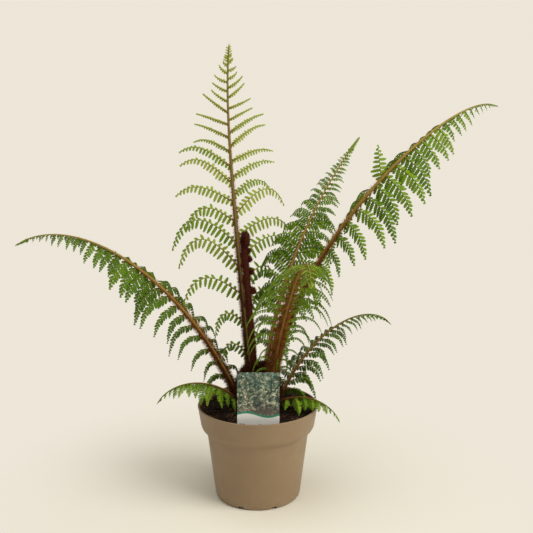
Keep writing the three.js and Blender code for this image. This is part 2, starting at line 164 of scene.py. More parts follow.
def grow(piece, tree, **inputs):
    """Runs a geometry tree on a piece and keeps what it makes as the piece's own plain mesh."""
    modifier = piece.modifiers.new(tree.name, "NODES")
    modifier.node_group = tree
    for socket in tree.interface.items_tree:
        if socket.in_out == "INPUT" and socket.name in inputs:
            modifier[socket.identifier] = inputs[socket.name]
    depsgraph = bpy.context.evaluated_depsgraph_get()
    seen = piece.evaluated_get(depsgraph)
    mesh = bpy.data.meshes.new_from_object(seen, preserve_all_data_layers=True, depsgraph=depsgraph)
    piece.modifiers.remove(modifier)
    mesh.materials.clear()
    mesh.materials.append(inputs["Material"])
    piece.data = mesh


def hand_over(piece, slot, *nodes):
    """Fixes a finished piece to the plant's one body and hides the solids that it stands for."""
    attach(piece, "root")
    if nodes:
        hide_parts(*nodes)


def new_material(name, roughness, **values):
    """Starts a material, and gives it with its node tree and its shader."""
    material = bpy.data.materials.new(name)
    material.use_nodes = True
    shader = material.node_tree.nodes["Principled BSDF"]
    shader.inputs["Roughness"].default_value = roughness
    for label, value in values.items():
        shader.inputs[label.replace("_", " ")].default_value = value
    return material, material.node_tree, shader


def object_place(tree):
    """Where a shaded point lies on its piece."""
    return add_node(tree, "ShaderNodeTexCoord").outputs["Object"]


def grain(tree, place, scale, detail, roughness=0.5):
    """Noise, as the sockets of its value and of its colour."""
    inputs = {"Vector": place, "Scale": scale, "Detail": detail, "Roughness": roughness}
    return add_node(tree, "ShaderNodeTexNoise", inputs).outputs


def mixed(tree, share, first, second, blend="MIX"):
    """Mixes two colours and gives the socket of the result."""
    inputs = {0: share, 6: first, 7: second}
    return add_node(tree, "ShaderNodeMix", inputs, data_type="RGBA", blend_type=blend).outputs[2]


def ranged(tree, value, low, high, to_low=0.0, to_high=1.0):
    """Maps a value from one range to another, with soft ends."""
    inputs = {"Value": value, "From Min": low, "From Max": high, "To Min": to_low, "To Max": to_high}
    return made(tree, "ShaderNodeMapRange", inputs, interpolation_type="SMOOTHSTEP")


def paint(tree, shader, colour):
    """Gives a shader its colour."""
    tree.links.new(colour, shader.inputs["Base Color"])


def bumped(tree, shader, height, strength, distance):
    """Gives a shader a relief of a real depth in metres."""
    relief = made(tree, "ShaderNodeBump", {"Height": height, "Strength": strength, "Distance": distance})
    tree.links.new(relief, shader.inputs["Normal"])


# Mottle: uneven colour that any of the materials can take, from one colour to its shade
mottle, given, end = new_tree(
    "mottle", "ShaderNodeTree",
    {"Colour": "Color", "Shade": "Color", "Scale": "Float", "Contrast": "Float"},
    {"Colour": "Color", "Height": "Float"},
)
clouds = grain(mottle, object_place(mottle), given["Scale"], 5.0, 0.6)[0]
centred = calc(mottle, "SUBTRACT", clouds, 0.5)
share = calc(mottle, "MULTIPLY_ADD", centred, given["Contrast"], 0.5, clamp=True)
mottle.links.new(mixed(mottle, share, given["Colour"], given["Shade"]), end.inputs["Colour"])
mottle.links.new(clouds, end.inputs["Height"])

# Dust: a film that lies from a level upwards and thins out over its reach
dust, given, end = new_tree(
    "dust", "ShaderNodeTree",
    {"Colour": "Color", "Film": "Color", "Level": "Float", "Reach": "Float", "Amount": "Float"},
    {"Colour": "Color"},
)
place = object_place(dust)
height = add_node(dust, "ShaderNodeSeparateXYZ", {0: place}).outputs["Z"]
above = calc(dust, "DIVIDE", calc(dust, "SUBTRACT", height, given["Level"]), given["Reach"])
patches = ranged(dust, grain(dust, place, 160.0, 6.0)[0], 0.35, 0.75)
film = calc(dust, "MULTIPLY", ranged(dust, above, 0.0, 1.0, 1.0, 0.0), patches)
mask = calc(dust, "MULTIPLY", film, given["Amount"], clamp=True)
dust.links.new(mixed(dust, mask, given["Colour"], given["Film"]), end.inputs["Colour"])


def mottled(tree, colour, shade, scale, contrast):
    """Mottles a colour, and gives the sockets of the colour and of a height for its relief."""
    inputs = {"Colour": colour, "Shade": shade, "Scale": scale, "Contrast": contrast}
    return add_node(tree, "ShaderNodeGroup", inputs, node_tree=mottle).outputs


def dusted(tree, colour, film, level, reach, amount):
    """Lays dust on a colour and gives the socket of the result."""
    inputs = {"Colour": colour, "Film": film, "Level": level, "Reach": reach, "Amount": amount}
    return made(tree, "ShaderNodeGroup", inputs, node_tree=dust)


taupe_plastic, tree, shader = new_material("taupe_plastic", 0.46)
place = object_place(tree)
patchy, relief = mottled(tree, TAUPE, TAUPE_SHADE, 22.0, 1.6)
drawn = made(tree, "ShaderNodeMapping", {"Vector": place, "Scale": (1.0, 1.0, 0.05)})
flow = ranged(tree, grain(tree, drawn, 260.0, 3.0)[0], 0.3, 0.8, 0.0, 0.3)
streaked = mixed(tree, flow, patchy, TAUPE_SHADE)
dusty = dusted(tree, streaked, POT_DUST, 0.0, 0.04, 0.2)
from_speck = made(tree, "ShaderNodeTexVoronoi", {"Vector": place, "Scale": 95.0})
specks = ranged(tree, from_speck, 0.03, 0.07, 0.45, 0.0)
paint(tree, shader, mixed(tree, specks, dusty, POT_SPECK))
tree.links.new(ranged(tree, relief, 0.3, 0.7, 0.40, 0.56), shader.inputs["Roughness"])
bumped(tree, shader, grain(tree, place, 700.0, 2.0)[0], 0.12, 0.0004)

# Drain notches: boxes set round the foot, square to the wall, and cut out of the pot
notches, given, end = new_grower("drain_notches", Count="Int", Ring="Float", Size="Vector")
circle = made(notches, "GeometryNodeMeshCircle", {"Vertices": given["Count"], "Radius": given["Ring"]})
half_step = made(notches, "ShaderNodeCombineXYZ", {"Z": calc(notches, "DIVIDE", math.pi, given["Count"])})
ring = made(notches, "GeometryNodeTransform", {"Geometry": circle, "Rotation": half_step})
outward = made(notches, "GeometryNodeInputPosition")
square = made(notches, "FunctionNodeAlignRotationToVector", {"Vector": outward}, axis="X")
cutter = made(notches, "GeometryNodeMeshCube", {"Size": given["Size"]})
cutters = instances(notches, ring, cutter, square)
solid = made(notches, "GeometryNodeRealizeInstances", {"Geometry": cutters})
inputs = {"Mesh 1": given["Geometry"], "Mesh 2": solid}
cut = made(notches, "GeometryNodeMeshBoolean", inputs, operation="DIFFERENCE")
close_grower(notches, cut, given, end)

pot = new_piece("pot_shell", *turned(rounded(POT_CORNERS), POT_SEGMENTS))
grow(
    pot, notches, Count=DRAINS["count"], Ring=DRAINS["ring"] * MM,
    Size=[size * MM for size in DRAINS["size"]], Material=taupe_plastic,
)
pot.data.set_sharp_from_angle(angle=math.radians(POT_SHARP_ANGLE))
hand_over(pot, "pot", "pot")

# Potting soil: milled bark and peat, filled to a little below the lip and pressed level by watering.
# A crumbly bed fills the pot, and loose bark chips and splinters lie on it.
SOIL_LEVEL = 145
SOIL_FLAT_RADIUS = 38
SOIL_RADIUS = 90.8
SOIL_SWELL = 2.2
SOIL_WALL = [(60, 3), (65.5, 9), (78.2, 106), (87.2, 116.5)]
SOIL_RINGS = 44
SOIL_SEGMENTS = 120
SOIL_RING_POWER = 0.9
CRUMB = 1.3
CHIP_BED = {"depth": 12, "edge": 6}
CHIPS = {"Density": 9.0e4, "Size": 6 * MM, "Seed": 11}
CHIP_STRETCH = ((0.5, 0.25, 0.15), (1.9, 0.9, 0.5))
FULL_TURN = 6.283
PEAT = (0.011, 0.006, 0.003)
BARK = (0.055, 0.026, 0.012)
BARK_PALE = (0.27, 0.125, 0.05)


def smoothstep(value, low, high):
    """Share from 0 to 1 of the way from low to high, with soft ends."""
    share = min(1, max(0, (value - low) / (high - low)))
    return share * share * (3 - 2 * share)


def mix(first, second, share):
    """Number at a share of the way from the first to the second."""
    return first + (second - first) * share


def soil_height(x, y):
    """Height of the soil, level where the crown stands and uneven towards the wall, with crumbs on it."""
    share = smoothstep(math.hypot(x, y), SOIL_FLAT_RADIUS, 95)
    wave = math.sin(x * 0.11 + 1.3) * math.cos(y * 0.13 - 0.4) + 0.6 * math.sin(x * 0.21 - y * 0.17)
    crumbs = CRUMB * noise.turbulence(Vector((x, y, 0)) * 0.16, 4, False)
    return SOIL_LEVEL + share * SOIL_SWELL * (wave - 1.2) + crumbs - 0.4


def vector_calc(tree, operation, *values):
    """Does one step of arithmetic on vectors and gives the socket of the result."""
    return made(tree, "ShaderNodeVectorMath", dict(enumerate(values)), operation=operation)


def random_value(tree, low, high, seed):
    """Number or vector between two limits, drawn anew for every point."""
    if isinstance(low, tuple):
        inputs = {0: low, 1: high, "Seed": seed}
        return made(tree, "FunctionNodeRandomValue", inputs, data_type="FLOAT_VECTOR")
    inputs = {2: low, 3: high, "Seed": seed}
    return add_node(tree, "FunctionNodeRandomValue", inputs, data_type="FLOAT").outputs[1]


def named_value(tree, label, kind="FLOAT"):
    """Reads in a geometry tree a value that the points of a piece carry."""
    return made(tree, "GeometryNodeInputNamedAttribute", {"Name": label}, data_type=kind)


def strewn(tree, given, label):
    """Strews points on a piece as densely as its named value says, and gives their sockets."""
    density = calc(tree, "MULTIPLY", given["Density"], named_value(tree, label))
    inputs = {"Mesh": given["Geometry"], "Density": density, "Seed": given["Seed"]}
    return add_node(tree, "GeometryNodeDistributePointsOnFaces", inputs).outputs


def toned(tree, patterns, seed):
    """Gives each of many patterns a tone of its own, from 0 to 1, that its material reads."""
    inputs = {"Geometry": patterns, "Name": "tone", "Value": random_value(tree, 0.0, 1.0, seed)}
    return made(tree, "GeometryNodeStoreNamedAttribute", inputs, data_type="FLOAT", domain="INSTANCE")


def carried(tree, label):
    """Reads in a material a value that its mesh carries."""
    return add_node(tree, "ShaderNodeAttribute", attribute_name=label).outputs["Fac"]


# Scatter: chips of one rough shape, each turned and stretched its own way, thrown on the bed
chips, given, end = new_grower("bark_chips", Density="Float", Size="Float", Seed="Int")
lump = made(chips, "GeometryNodeMeshIcoSphere", {"Radius": 0.5, "Subdivisions": 1})
rough = grain(chips, made(chips, "GeometryNodeInputPosition"), 2.3, 1.0)[1]
knocked = vector_calc(chips, "SUBTRACT", rough, (0.5, 0.5, 0.5))
chip = made(chips, "GeometryNodeSetPosition", {"Geometry": lump, "Offset": knocked})
lay = random_value(chips, (-0.5, -0.5, 0.0), (0.5, 0.5, FULL_TURN), given["Seed"])
sized = vector_calc(chips, "MULTIPLY", random_value(chips, *CHIP_STRETCH, 3), given["Size"])
laid = instances(chips, strewn(chips, given, "open")[0], chip, lay, sized)
close_grower(chips, toned(chips, laid, 5), given, end)

damp_peat, tree, shader = new_material("damp_peat", 0.9, Specular_IOR_Level=0.15)
damp, relief = mottled(tree, PEAT, BARK, 240.0, 2.2)
paint(tree, shader, damp)
bumped(tree, shader, relief, 0.8, 0.0012)

bark_chip, tree, shader = new_material("bark_chip", 0.82, Specular_IOR_Level=0.2)
tone = carried(tree, "tone")
dealt = mixed(tree, ranged(tree, tone, 0.25, 1.0), PEAT, BARK)
pale = mixed(tree, ranged(tree, tone, 0.8, 1.0), dealt, BARK_PALE)
worn, relief = mottled(tree, pale, PEAT, 420.0, 1.8)
paint(tree, shader, worn)
bumped(tree, shader, relief, 0.7, 0.0006)

profile = [(0, 3), *SOIL_WALL]
shares = [(1 - k / SOIL_RINGS) ** SOIL_RING_POWER for k in range(SOIL_RINGS + 1)]
profile += [(SOIL_RADIUS * share, SOIL_LEVEL) for share in shares]
points, faces = turned(profile, SOIL_SEGMENTS)
points = [(x, y, soil_height(x, y) if z == SOIL_LEVEL else z) for x, y, z in points]
lowest, widest = SOIL_LEVEL - CHIP_BED["depth"], SOIL_RADIUS - CHIP_BED["edge"]
bare = [float(z > lowest and math.hypot(x, y) < widest) for x, y, z in points]
soil = new_piece("soil_bed", points, faces)
soil.data.materials.append(damp_peat)
hand_over(soil, "soil", "soil")
loose = new_piece("soil_chips", points, faces, values={"open": bare})
grow(loose, chips, **CHIPS, Material=bark_chip)
hand_over(loose, "soil")

# Crown: the short stem that every frond grows from, a dome of old frond bases wrapped in matted hair.
# It sits on the soil, and its hair is dark brown and stands up between the fronds.
CROWN_TOP = 210
CROWN_FOOT = 145.3
CROWN_RADIUS = 31
CROWN_SHAPE = [(0, 0), (0.97, 0), (1, 0.16), (0.94, 0.45), (0.78, 0.74), (0.45, 0.94), (0, 1)]
CROWN_RIDGES = 7
CROWN_SEGMENTS = 112
CROWN_HAIRLINE = (CROWN_FOOT + 2, CROWN_FOOT + 12)
CROWN_HAIR = {
    "Density": 2.2e6, "Shortest": 5 * MM, "Longest": 14 * MM, "Thickness": 0.03, "Tangle": 0.7,
    "Lift": 0.6, "Seed": 21,
}
STRAND = [(-1, 0, 0), (1, 0, 0), (0.7, 0.08, 0.55), (-0.7, 0.08, 0.55), (0, 0.3, 1)]
HAIR_DARK = (0.030, 0.010, 0.005)
HAIR_RED = (0.145, 0.045, 0.018)
HAIR_GOLD = (0.58, 0.25, 0.05)
HAIR_SHADE = (0.6, 0.55, 0.5)


def through(points, steps):
    """Smooth path through a row of points, with a number of steps between each two."""
    path = []
    last = len(points) - 1
    for i in range(last):
        a, b, c, d = (points[min(max(j, 0), last)] for j in (i - 1, i, i + 1, i + 2))
        for k in range(steps):
            t = k / steps
            bend = (2 * a - 5 * b + 4 * c - d) * t * t + (3 * b - a - 3 * c + d) * t**3
            path.append(0.5 * (2 * b + (c - a) * t + bend))
    return [*path, points[last]]


def crown_relief(point):
    """Moves a point of the dome in where the old frond bases leave hollows between them."""
    x, y, z = point
    angle = math.atan2(y, x)
    ridge = 1 + 0.06 * math.cos(CROWN_RIDGES * angle)
    scar = math.sin(CROWN_RIDGES * angle + z * 0.16) * math.sin(z * 0.42 - 2 * angle)
    grit = noise.turbulence(Vector((x, y, z)) * 0.12, 3, False)
    inward = ridge * (1 - 0.05 * scar - 0.08 * grit)
    return (x * inward, y * inward, z)


# Hair: tapered strands that stand on a piece where its points are hairy, leaning and turned at random
hair, given, end = new_grower(
    "hair", Strand="Object", Density="Float", Shortest="Float", Longest="Float", Thickness="Float",
    Tangle="Float", Lift="Float", Seed="Int",
)
rooted = strewn(hair, given, "hairy")
stray = random_value(hair, (-1.0, -1.0, -1.0), (1.0, 1.0, 1.0), given["Seed"])
tangled = vector_calc(hair, "MULTIPLY", stray, given["Tangle"])
leaning = vector_calc(hair, "ADD", tangled, made(hair, "ShaderNodeCombineXYZ", {"Z": given["Lift"]}))
aim = vector_calc(hair, "ADD", rooted["Normal"], leaning)
stood = made(hair, "FunctionNodeAlignRotationToVector", {"Vector": aim}, axis="Z")
spin = made(hair, "ShaderNodeCombineXYZ", {"Z": random_value(hair, 0.0, FULL_TURN, 7)})
inputs = {"Rotation": stood, "Rotate By": spin}
spun = made(hair, "FunctionNodeRotateRotation", inputs, rotation_space="LOCAL")
length = random_value(hair, given["Shortest"], given["Longest"], 9)
grown = calc(hair, "MULTIPLY", length, calc(hair, "MULTIPLY_ADD", named_value(hair, "hairy"), 0.65, 0.35))
slim = calc(hair, "MULTIPLY", grown, given["Thickness"])
sized = made(hair, "ShaderNodeCombineXYZ", {"X": slim, "Y": grown, "Z": grown})
strand = add_node(hair, "GeometryNodeObjectInfo", {"Object": given["Strand"], "As Instance": True})
planted = instances(hair, rooted[0], strand.outputs["Geometry"], spun, sized)
close_grower(hair, toned(hair, planted, 13), given, end)
strand_pattern = new_piece("strand_pattern", [Vector(p) / MM for p in STRAND], [(0, 1, 2, 3), (3, 2, 4)])


def shaded(tree, colour, shade):
    """Darker tone of a colour, with each channel cut to a share of itself."""
    return mixed(tree, 1.0, colour, shade, "MULTIPLY")


def hair_material(name, dark, light, on_rib=False):
    """Hair with strands from a dark to a light brown, each its own tone, and darker at the foot of a rib."""
    material, tree, shader = new_material(name, 0.7, Specular_IOR_Level=0.03)
    tone = carried(tree, "tone")
    if on_rib:
        tone = calc(tree, "MULTIPLY", tone, ranged(tree, carried(tree, "along"), 0.0, 0.45, 0.35, 1.0))
    dealt = mixed(tree, tone, dark, light)
    paint(tree, shader, mottled(tree, dealt, shaded(tree, dealt, HAIR_SHADE), 60.0, 1.6)[0])
    return material


def matted_material(name, dark, light, scale):
    """Skin under the hair, streaked by the strands that lie flat on it."""
    material, tree, shader = new_material(name, 0.85, Specular_IOR_Level=0.15)
    matted, relief = mottled(tree, dark, light, scale, 2.0)
    paint(tree, shader, matted)
    bumped(tree, shader, relief, 0.7, 0.0008)
    return material


def hairs_on(piece, name, finish, slot, **sizes):
    """Grows hair on a copy of a piece's mesh and hands it over as a piece of its own."""
    coat = bpy.data.objects.new(name, piece.data.copy())
    bpy.context.scene.collection.objects.link(coat)
    grow(coat, hair, Strand=strand_pattern, Material=finish, **sizes)
    hand_over(coat, slot)


outline = [Vector((CROWN_RADIUS * r, mix(CROWN_FOOT, CROWN_TOP, h))) for r, h in CROWN_SHAPE]
profile = [outline[0], *through(outline[1:], 6)]
profile[-1].x = 0
points, faces = turned(profile, CROWN_SEGMENTS)
points = [crown_relief(point) for point in points]
shaggy = [smoothstep(z, *CROWN_HAIRLINE) for _, _, z in points]
crown = new_piece("crown_stem", points, faces, values={"hairy": shaggy})
crown.data.materials.append(matted_material("crown_skin", HAIR_DARK, HAIR_RED, 320.0))
hand_over(crown, "crown", "crown")
hairs_on(crown, "crown_hairs", hair_material("crown_hair", HAIR_DARK, HAIR_RED), "crown", **CROWN_HAIR)

# Frond ribs: eight fronds rise from the crown and arch over under their own weight.
# Each has a stiff living rib, grooved along its upper face, that is brown and hairy at the foot
# and golden to olive towards the tip.
NOD_POWER = 6
RIB_STEPS = 20
RIB_FINER = 4
RIB_SIDES = 12
GROOVE = {"depth": 0.16, "edge": (0.8, 0.97), "start": (0.0, 0.1)}
RIB_COAT = {"thinned_at": 0.6, "bare_tip": (0.12, 0.45), "on_top": 0.03}
RIB_HAIR = {"Density": 4.6e6, "Thickness": 0.03, "Tangle": 0.6, "Lift": 0.1}
RIB_HAIR_SEED = 31
# Azimuth is counted from +X towards +Y, and most pairs of numbers run from the foot of a frond to its tip.
# Each frond gives its place and curve, then its leaflets, then the blades on them, then colour and hair.
# Span is where along the rib the blades change in length, and blunt is what is left at a leaflet's tip.
# Least and closest limit their length and spacing, upper_row is the size of those that point up, sink is
# how far they hang, and rolled is how stout the young stalks are near the tip.
USUAL_FROND = dict(
    slot="foliage", rib="old", rib_tip=0.14, sweep=0, roll=(0, 0),
    crowding=1, bow=1, lifted=None,
    span=(0.25, 0.6), blunt=0.12, least=2.2, closest=0.5, upper_row=0.62, rolled=0,
    tip_blade=5, sink=0.15,
)
LOW_FROND = dict(
    slot="young_foliage", rib="small",
    foot_share=0.6, taper=0.9, hang=(0.2, 0.5), droop=(2, 1),
    pinnule=(9, 9.5), spacing=3.4, cover=(1.1, 1.15), fullest=0.25, fold=(25, 10),
    coat=(0.8, 0.2), hair=(1.2, 3),
)
FRONDS = [
    dict(
        nodes=["frond_upright"], slot="young_foliage", rib="young",
        foot=(-9, 8, 166.5), length=560, radius=4.6, rib_tip=0.3,
        azimuth=110, rise=71.7, arch=-5.5, nod=-30,
        pairs=20, crowding=0.18, first=0.1, widest=0.34, foot_share=0.5, bow=1.4,
        taper=1.1, leaflet=134, angle=(34, 68), hang=(0, 0), droop=(6, -1.5),
        pinnule=(14, 7), span=(0.3, 0.85), spacing=8.5, cover=(0.68, 0.85), fullest=0.3,
        blunt=0.35, least=3, closest=0.3, upper_row=0.7, rolled=0.55, tip_blade=9,
        fold=(10, 8), sink=0.6, tint=(0.36, 1.16), coat=(1.0, 0.35), hair=(3, 8),
    ),
    dict(
        nodes=["frond_long_right", "frond_long_right_tip"],
        foot=(20.5, -5, 165), length=675, radius=4.8,
        azimuth=-30, sweep=80, rise=81.2, arch=61, nod=30.5, roll=(0, -45),
        pairs=30, crowding=0.5, first=0.1, widest=0.58, foot_share=0.55, taper=1.15,
        leaflet=78, angle=(70, 62), hang=(0.1, 0.9), droop=(5, 2), lifted=24,
        pinnule=(9, 17), spacing=6.6, cover=(0.95, 1.12), fullest=0.15, fold=(30, 6),
        tint=(0.3, 0.5), coat=(1.0, 0.2), hair=(4, 11),
    ),
    dict(
        nodes=["frond_left", "frond_left_tip"],
        foot=(-28, 1.5, 149), length=495, radius=4.6,
        azimuth=140, sweep=50, rise=58.7, arch=39.3, nod=53.7, roll=(5, 45),
        pairs=27, crowding=0.55, first=0.1, widest=0.44, foot_share=0.7, taper=1.05,
        leaflet=74, angle=(72, 60), hang=(-0.2, 0.9), droop=(6, 2),
        pinnule=(8, 16), spacing=6, cover=(1.2, 1.3), fullest=0.15, fold=(35, 6),
        tint=(0, 0.35), coat=(1.0, 0.15), hair=(4, 11),
    ),
    dict(
        nodes=["frond_back_right"],
        foot=(7, 8, 165.5), length=472, radius=3.7,
        azimuth=45, rise=81.2, arch=44.5, nod=-4.5, roll=(-30, -30),
        pairs=36, crowding=0.35, first=0.16, widest=0.4, foot_share=0.5, taper=1.25,
        leaflet=76, angle=(72, 60), hang=(-0.2, 0), droop=(6, 0.5),
        pinnule=(10, 12), spacing=5, cover=(0.9, 1.3), fullest=0.2, fold=(30, 10),
        blunt=0.3, least=3.2, closest=0.4,
        tint=(0.17, 0.52), coat=(1.0, 0.1), hair=(2, 5),
    ),
    dict(
        nodes=["frond_small_right"], rib="small",
        foot=(31.3, 3.5, 147.8), length=290, radius=3.2,
        azimuth=50, sweep=-30, rise=53.8, arch=49.7, nod=57.7,
        pairs=24, first=0.06, widest=0.12, foot_share=0.9, taper=0.95,
        leaflet=66, angle=(66, 58), hang=(-0.3, 0.5), droop=(6, 2),
        pinnule=(7.5, 7.5), spacing=4.6, cover=(1.15, 1.15), fullest=0.2, fold=(30, 12),
        blunt=0.2, least=2.6,
        tint=(-0.05, 0.25), coat=(0.8, 0.1), hair=(1.5, 4),
    ),
    dict(
        nodes=["frond_front", "frond_front_tip"],
        foot=(17, -12.5, 159.5), length=390, radius=4.4,
        azimuth=-60, sweep=-29, rise=79, arch=53.5, nod=76,
        pairs=26, first=0.13, widest=0.45, foot_share=0.6, taper=0.8,
        leaflet=80, angle=(84, 62), hang=(-0.45, 0.2), droop=(6, 1.5),
        pinnule=(3.8, 5.6), spacing=4.2, cover=(0.95, 0.95), fullest=0.2, fold=(30, 8),
        sink=0.1, tint=(0.13, 0.82), coat=(1.0, 0.6), hair=(5, 14),
    ),
    dict(
        LOW_FROND, nodes=["frond_low_left"],
        foot=(-23, -11, 146), length=163, radius=2.4,
        azimuth=200, sweep=2, rise=60, arch=92, nod=27,
        pairs=12, first=0.14, widest=0.36, leaflet=44, angle=(72, 58), tint=(0.38, 0.6),
    ),
    dict(
        LOW_FROND, nodes=["frond_low_right"],
        foot=(24, -16, 150), length=124, radius=2.2,
        azimuth=-17, rise=44, arch=98, nod=12,
        pairs=9, first=0.16, widest=0.32, leaflet=32, angle=(70, 58), tint=(0.35, 0.55),
    ),
]
FRONDS = [{**USUAL_FROND, **frond} for frond in FRONDS]
RIB_COLOURS = {
    "young": [
        (0.0, (0.040, 0.013, 0.006)), (0.3, (0.085, 0.040, 0.013)), (0.5, (0.20, 0.12, 0.035)),
        (0.75, (0.28, 0.20, 0.05)), (1.0, (0.30, 0.33, 0.065)),
    ],
    "old": [
        (0.0, (0.10, 0.038, 0.012)), (0.25, (0.25, 0.11, 0.026)), (0.5, (0.34, 0.23, 0.052)),
        (0.85, (0.33, 0.29, 0.06)), (1.0, (0.15, 0.24, 0.022)),
    ],
    "small": [
        (0.0, (0.080, 0.034, 0.012)), (0.25, (0.20, 0.095, 0.022)), (0.6, (0.22, 0.165, 0.030)),
        (1.0, (0.14, 0.23, 0.022)),
    ],
}
GROOVE_PALE = {"young": (0.22, 0.165, 0.04), "old": (0.45, 0.285, 0.06), "small": (0.25, 0.21, 0.04)}
RIB_MATTED = (0.075, 0.024, 0.007)
RIB_HAIR_COLOURS = {
    "young": ((0.09, 0.026, 0.006), (0.44, 0.18, 0.04)),
    "old": ((0.11, 0.030, 0.006), HAIR_GOLD),
    "small": ((0.07, 0.022, 0.006), (0.40, 0.19, 0.045)),
}
LEAF_SHADE = (0.55, 0.48, 0.45)


def along_at(frond, t):
    """Way that a rib runs at the share t of its length: rising, arching over evenly, nodding at the tip."""
    slope = math.radians(frond["rise"] - frond["arch"] * t - frond["nod"] * t**NOD_POWER)
    heading = math.radians(frond["azimuth"] + frond["sweep"] * t)
    level = math.cos(slope)
    return Vector((level * math.cos(heading), level * math.sin(heading), math.sin(slope)))


def side_at(frond, t):
    """Way to the left of a rib, level but for the rib's own roll."""
    heading = math.radians(frond["azimuth"] + frond["sweep"] * t)
    roll = math.radians(mix(*frond["roll"], t))
    level = Vector((-math.sin(heading), math.cos(heading), 0))
    return level * math.cos(roll) - along_at(frond, t).cross(level) * math.sin(roll)


def walked(start, way_at, length, steps):
    """Points of a path of even steps, where way_at gives its direction at a share of its length."""
    points = [start]
    for i in range(steps):
        points.append(points[i] + way_at((i + 0.5) / steps) * (length / steps))
    return points


def rib_points(frond):
    """Middle line of a rib, from its foot to its tip."""
    return walked(Vector(frond["foot"]), lambda t: along_at(frond, t), frond["length"], RIB_STEPS)


def point_on(points, share):
    """Point at a share of a row of evenly spaced points."""
    steps = len(points) - 1
    i = min(int(share * steps), steps - 1)
    return points[i].lerp(points[i + 1], share * steps - i)


def tube(rings):
    """Points and faces of a tube through rings with the same count of points, closed at both ends."""
    sides = len(rings[0])
    faces = [tuple(range(sides - 1, -1, -1))]
    for i in range(len(rings) - 1):
        for k in range(sides):
            a, b = i * sides + k, i * sides + (k + 1) % sides
            faces.append((a, b, b + sides, a + sides))
    last = (len(rings) - 1) * sides
    faces.append(tuple(range(last, last + sides)))
    return [point for ring in rings for point in ring], faces


def rib_rings(frond):
    """Rings along a rib, with the pale groove, the share along it and the hair of each point."""
    path = through(rib_points(frond), RIB_FINER)
    rings, groove, along, hairy = [], [], [], []
    for i, centre in enumerate(path):
        t = i / (len(path) - 1)
        side = side_at(frond, t)
        face = along_at(frond, t).cross(side)
        radius = frond["radius"] * mix(1, frond["rib_tip"], t)
        coat = mix(*frond["coat"], min(1, t / RIB_COAT["thinned_at"]))
        coat *= smoothstep(1 - t, *RIB_COAT["bare_tip"])
        ring = []
        for k in range(RIB_SIDES):
            angle = 2 * math.pi * k / RIB_SIDES
            on_top = smoothstep(math.sin(angle), *GROOVE["edge"])
            out = side * math.cos(angle) + face * math.sin(angle)
            ring.append(centre + out * radius * (1 - GROOVE["depth"] * on_top))
            groove.append(on_top * smoothstep(t, *GROOVE["start"]))
            along.append(t)
            hairy.append(coat * mix(RIB_COAT["on_top"], 1, math.cos(angle) ** 2))
        rings.append(ring)
    return rings, {"groove": groove, "along": along, "hairy": hairy}


def ramp(tree, value, colours):
    """Colour ramp of (place, colour) pairs, read at a value."""
    node = add_node(tree, "ShaderNodeValToRGB", {0: value})
    elements = node.color_ramp.elements
    elements.remove(elements[1])
    elements[0].position, elements[0].color = colours[0][0], (*colours[0][1], 1)
    for place, colour in colours[1:]:
        elements.new(place).color = (*colour, 1)
    return node.outputs[0]


def rib_material(name, colours, groove_colour):
    """Skin of a rib: its own colours along it, matted hair at its sides and a pale groove on top."""
    material, tree, shader = new_material(name, 0.6, Specular_IOR_Level=0.12)
    dealt = ramp(tree, carried(tree, "along"), colours)
    hairy = ranged(tree, carried(tree, "hairy"), 0.25, 0.8, 0.0, 0.85)
    matted = mixed(tree, hairy, dealt, RIB_MATTED)
    groove = ranged(tree, carried(tree, "groove"), 0.2, 0.9, 0.0, 0.75)
    pale = mixed(tree, groove, matted, groove_colour)
    fibrous, relief = mottled(tree, pale, shaded(tree, pale, LEAF_SHADE), 210.0, 1.6)
    paint(tree, shader, fibrous)
    bumped(tree, shader, relief, 0.5, 0.0005)
    return material


rib_finish, rib_hair = {}, {}
for kind, colours in RIB_COLOURS.items():
    rib_finish[kind] = rib_material("rib_" + kind, colours, GROOVE_PALE[kind])
    rib_hair[kind] = hair_material("rib_hair_" + kind, *RIB_HAIR_COLOURS[kind], on_rib=True)
for number, frond in enumerate(FRONDS):
    name = frond["nodes"][0]
    rings, values = rib_rings(frond)
    rib = new_piece(name + "_rib", *tube(rings), values=values)
    rib.data.materials.append(rib_finish[frond["rib"]])
    hand_over(rib, frond["slot"], *frond["nodes"])
    shortest, longest = (length * MM for length in frond["hair"])
    hairs_on(
        rib, name + "_hairs", rib_hair[frond["rib"]], frond["slot"], **RIB_HAIR,
        Shortest=shortest, Longest=longest, Seed=RIB_HAIR_SEED + number,
    )

# Leaflets: two rows on each rib, every one a thin stalk with two rows of small toothed blades.
# They are soft living tissue: a leaflet sets out from the rib, arches over and hangs by its own weight.
# The few that the solids shorten to keep clear of a neighbour have their full length here.
PAIR_OFFSET = 0.35
DROOP_POWER = 2.5
LIFT = {"rise": 1.1, "length": 0.62}
LEAST_LEAFLET = 4
JITTER = {"angle": 10, "length": 0.16, "droop": 0.4}
GOLDEN = 0.6180339887
SEED_STEP = 0.377
UP = Vector((0, 0, 1))
STALK_STEPS = 16
STALK_SIDES = 5
STALK_RADIUS = {"young": 1.4, "old": 1.1, "small": 0.95}
STALK_TAPER = {"usual": 0.3, "rolled": 1.1}
ROLLED_SPAN = (0.55, 0.85)
LEAFY_SHARE = (0.01, 0.99)
BLADE_TEETH = 6
BLADE_SHAPE = {"curl": 0.16, "notch": (0.72, 0.10), "tooth": (1.06, 0.16), "forward": 0.68, "narrowed": 0.88}
BLADE_ANGLE = (82, 58)
BLADE_NARROWING = (1, 0.7)
BLADE_STRAY = {"angle": 7, "lean": 9, "face": 0.25, "size": 0.1, "tint": 0.05}
LEAST_COVER = 1.15
LEAFLET_TINTS = {"stray": 0.2, "tip": 0.12}
NUMBERS_APART = 97
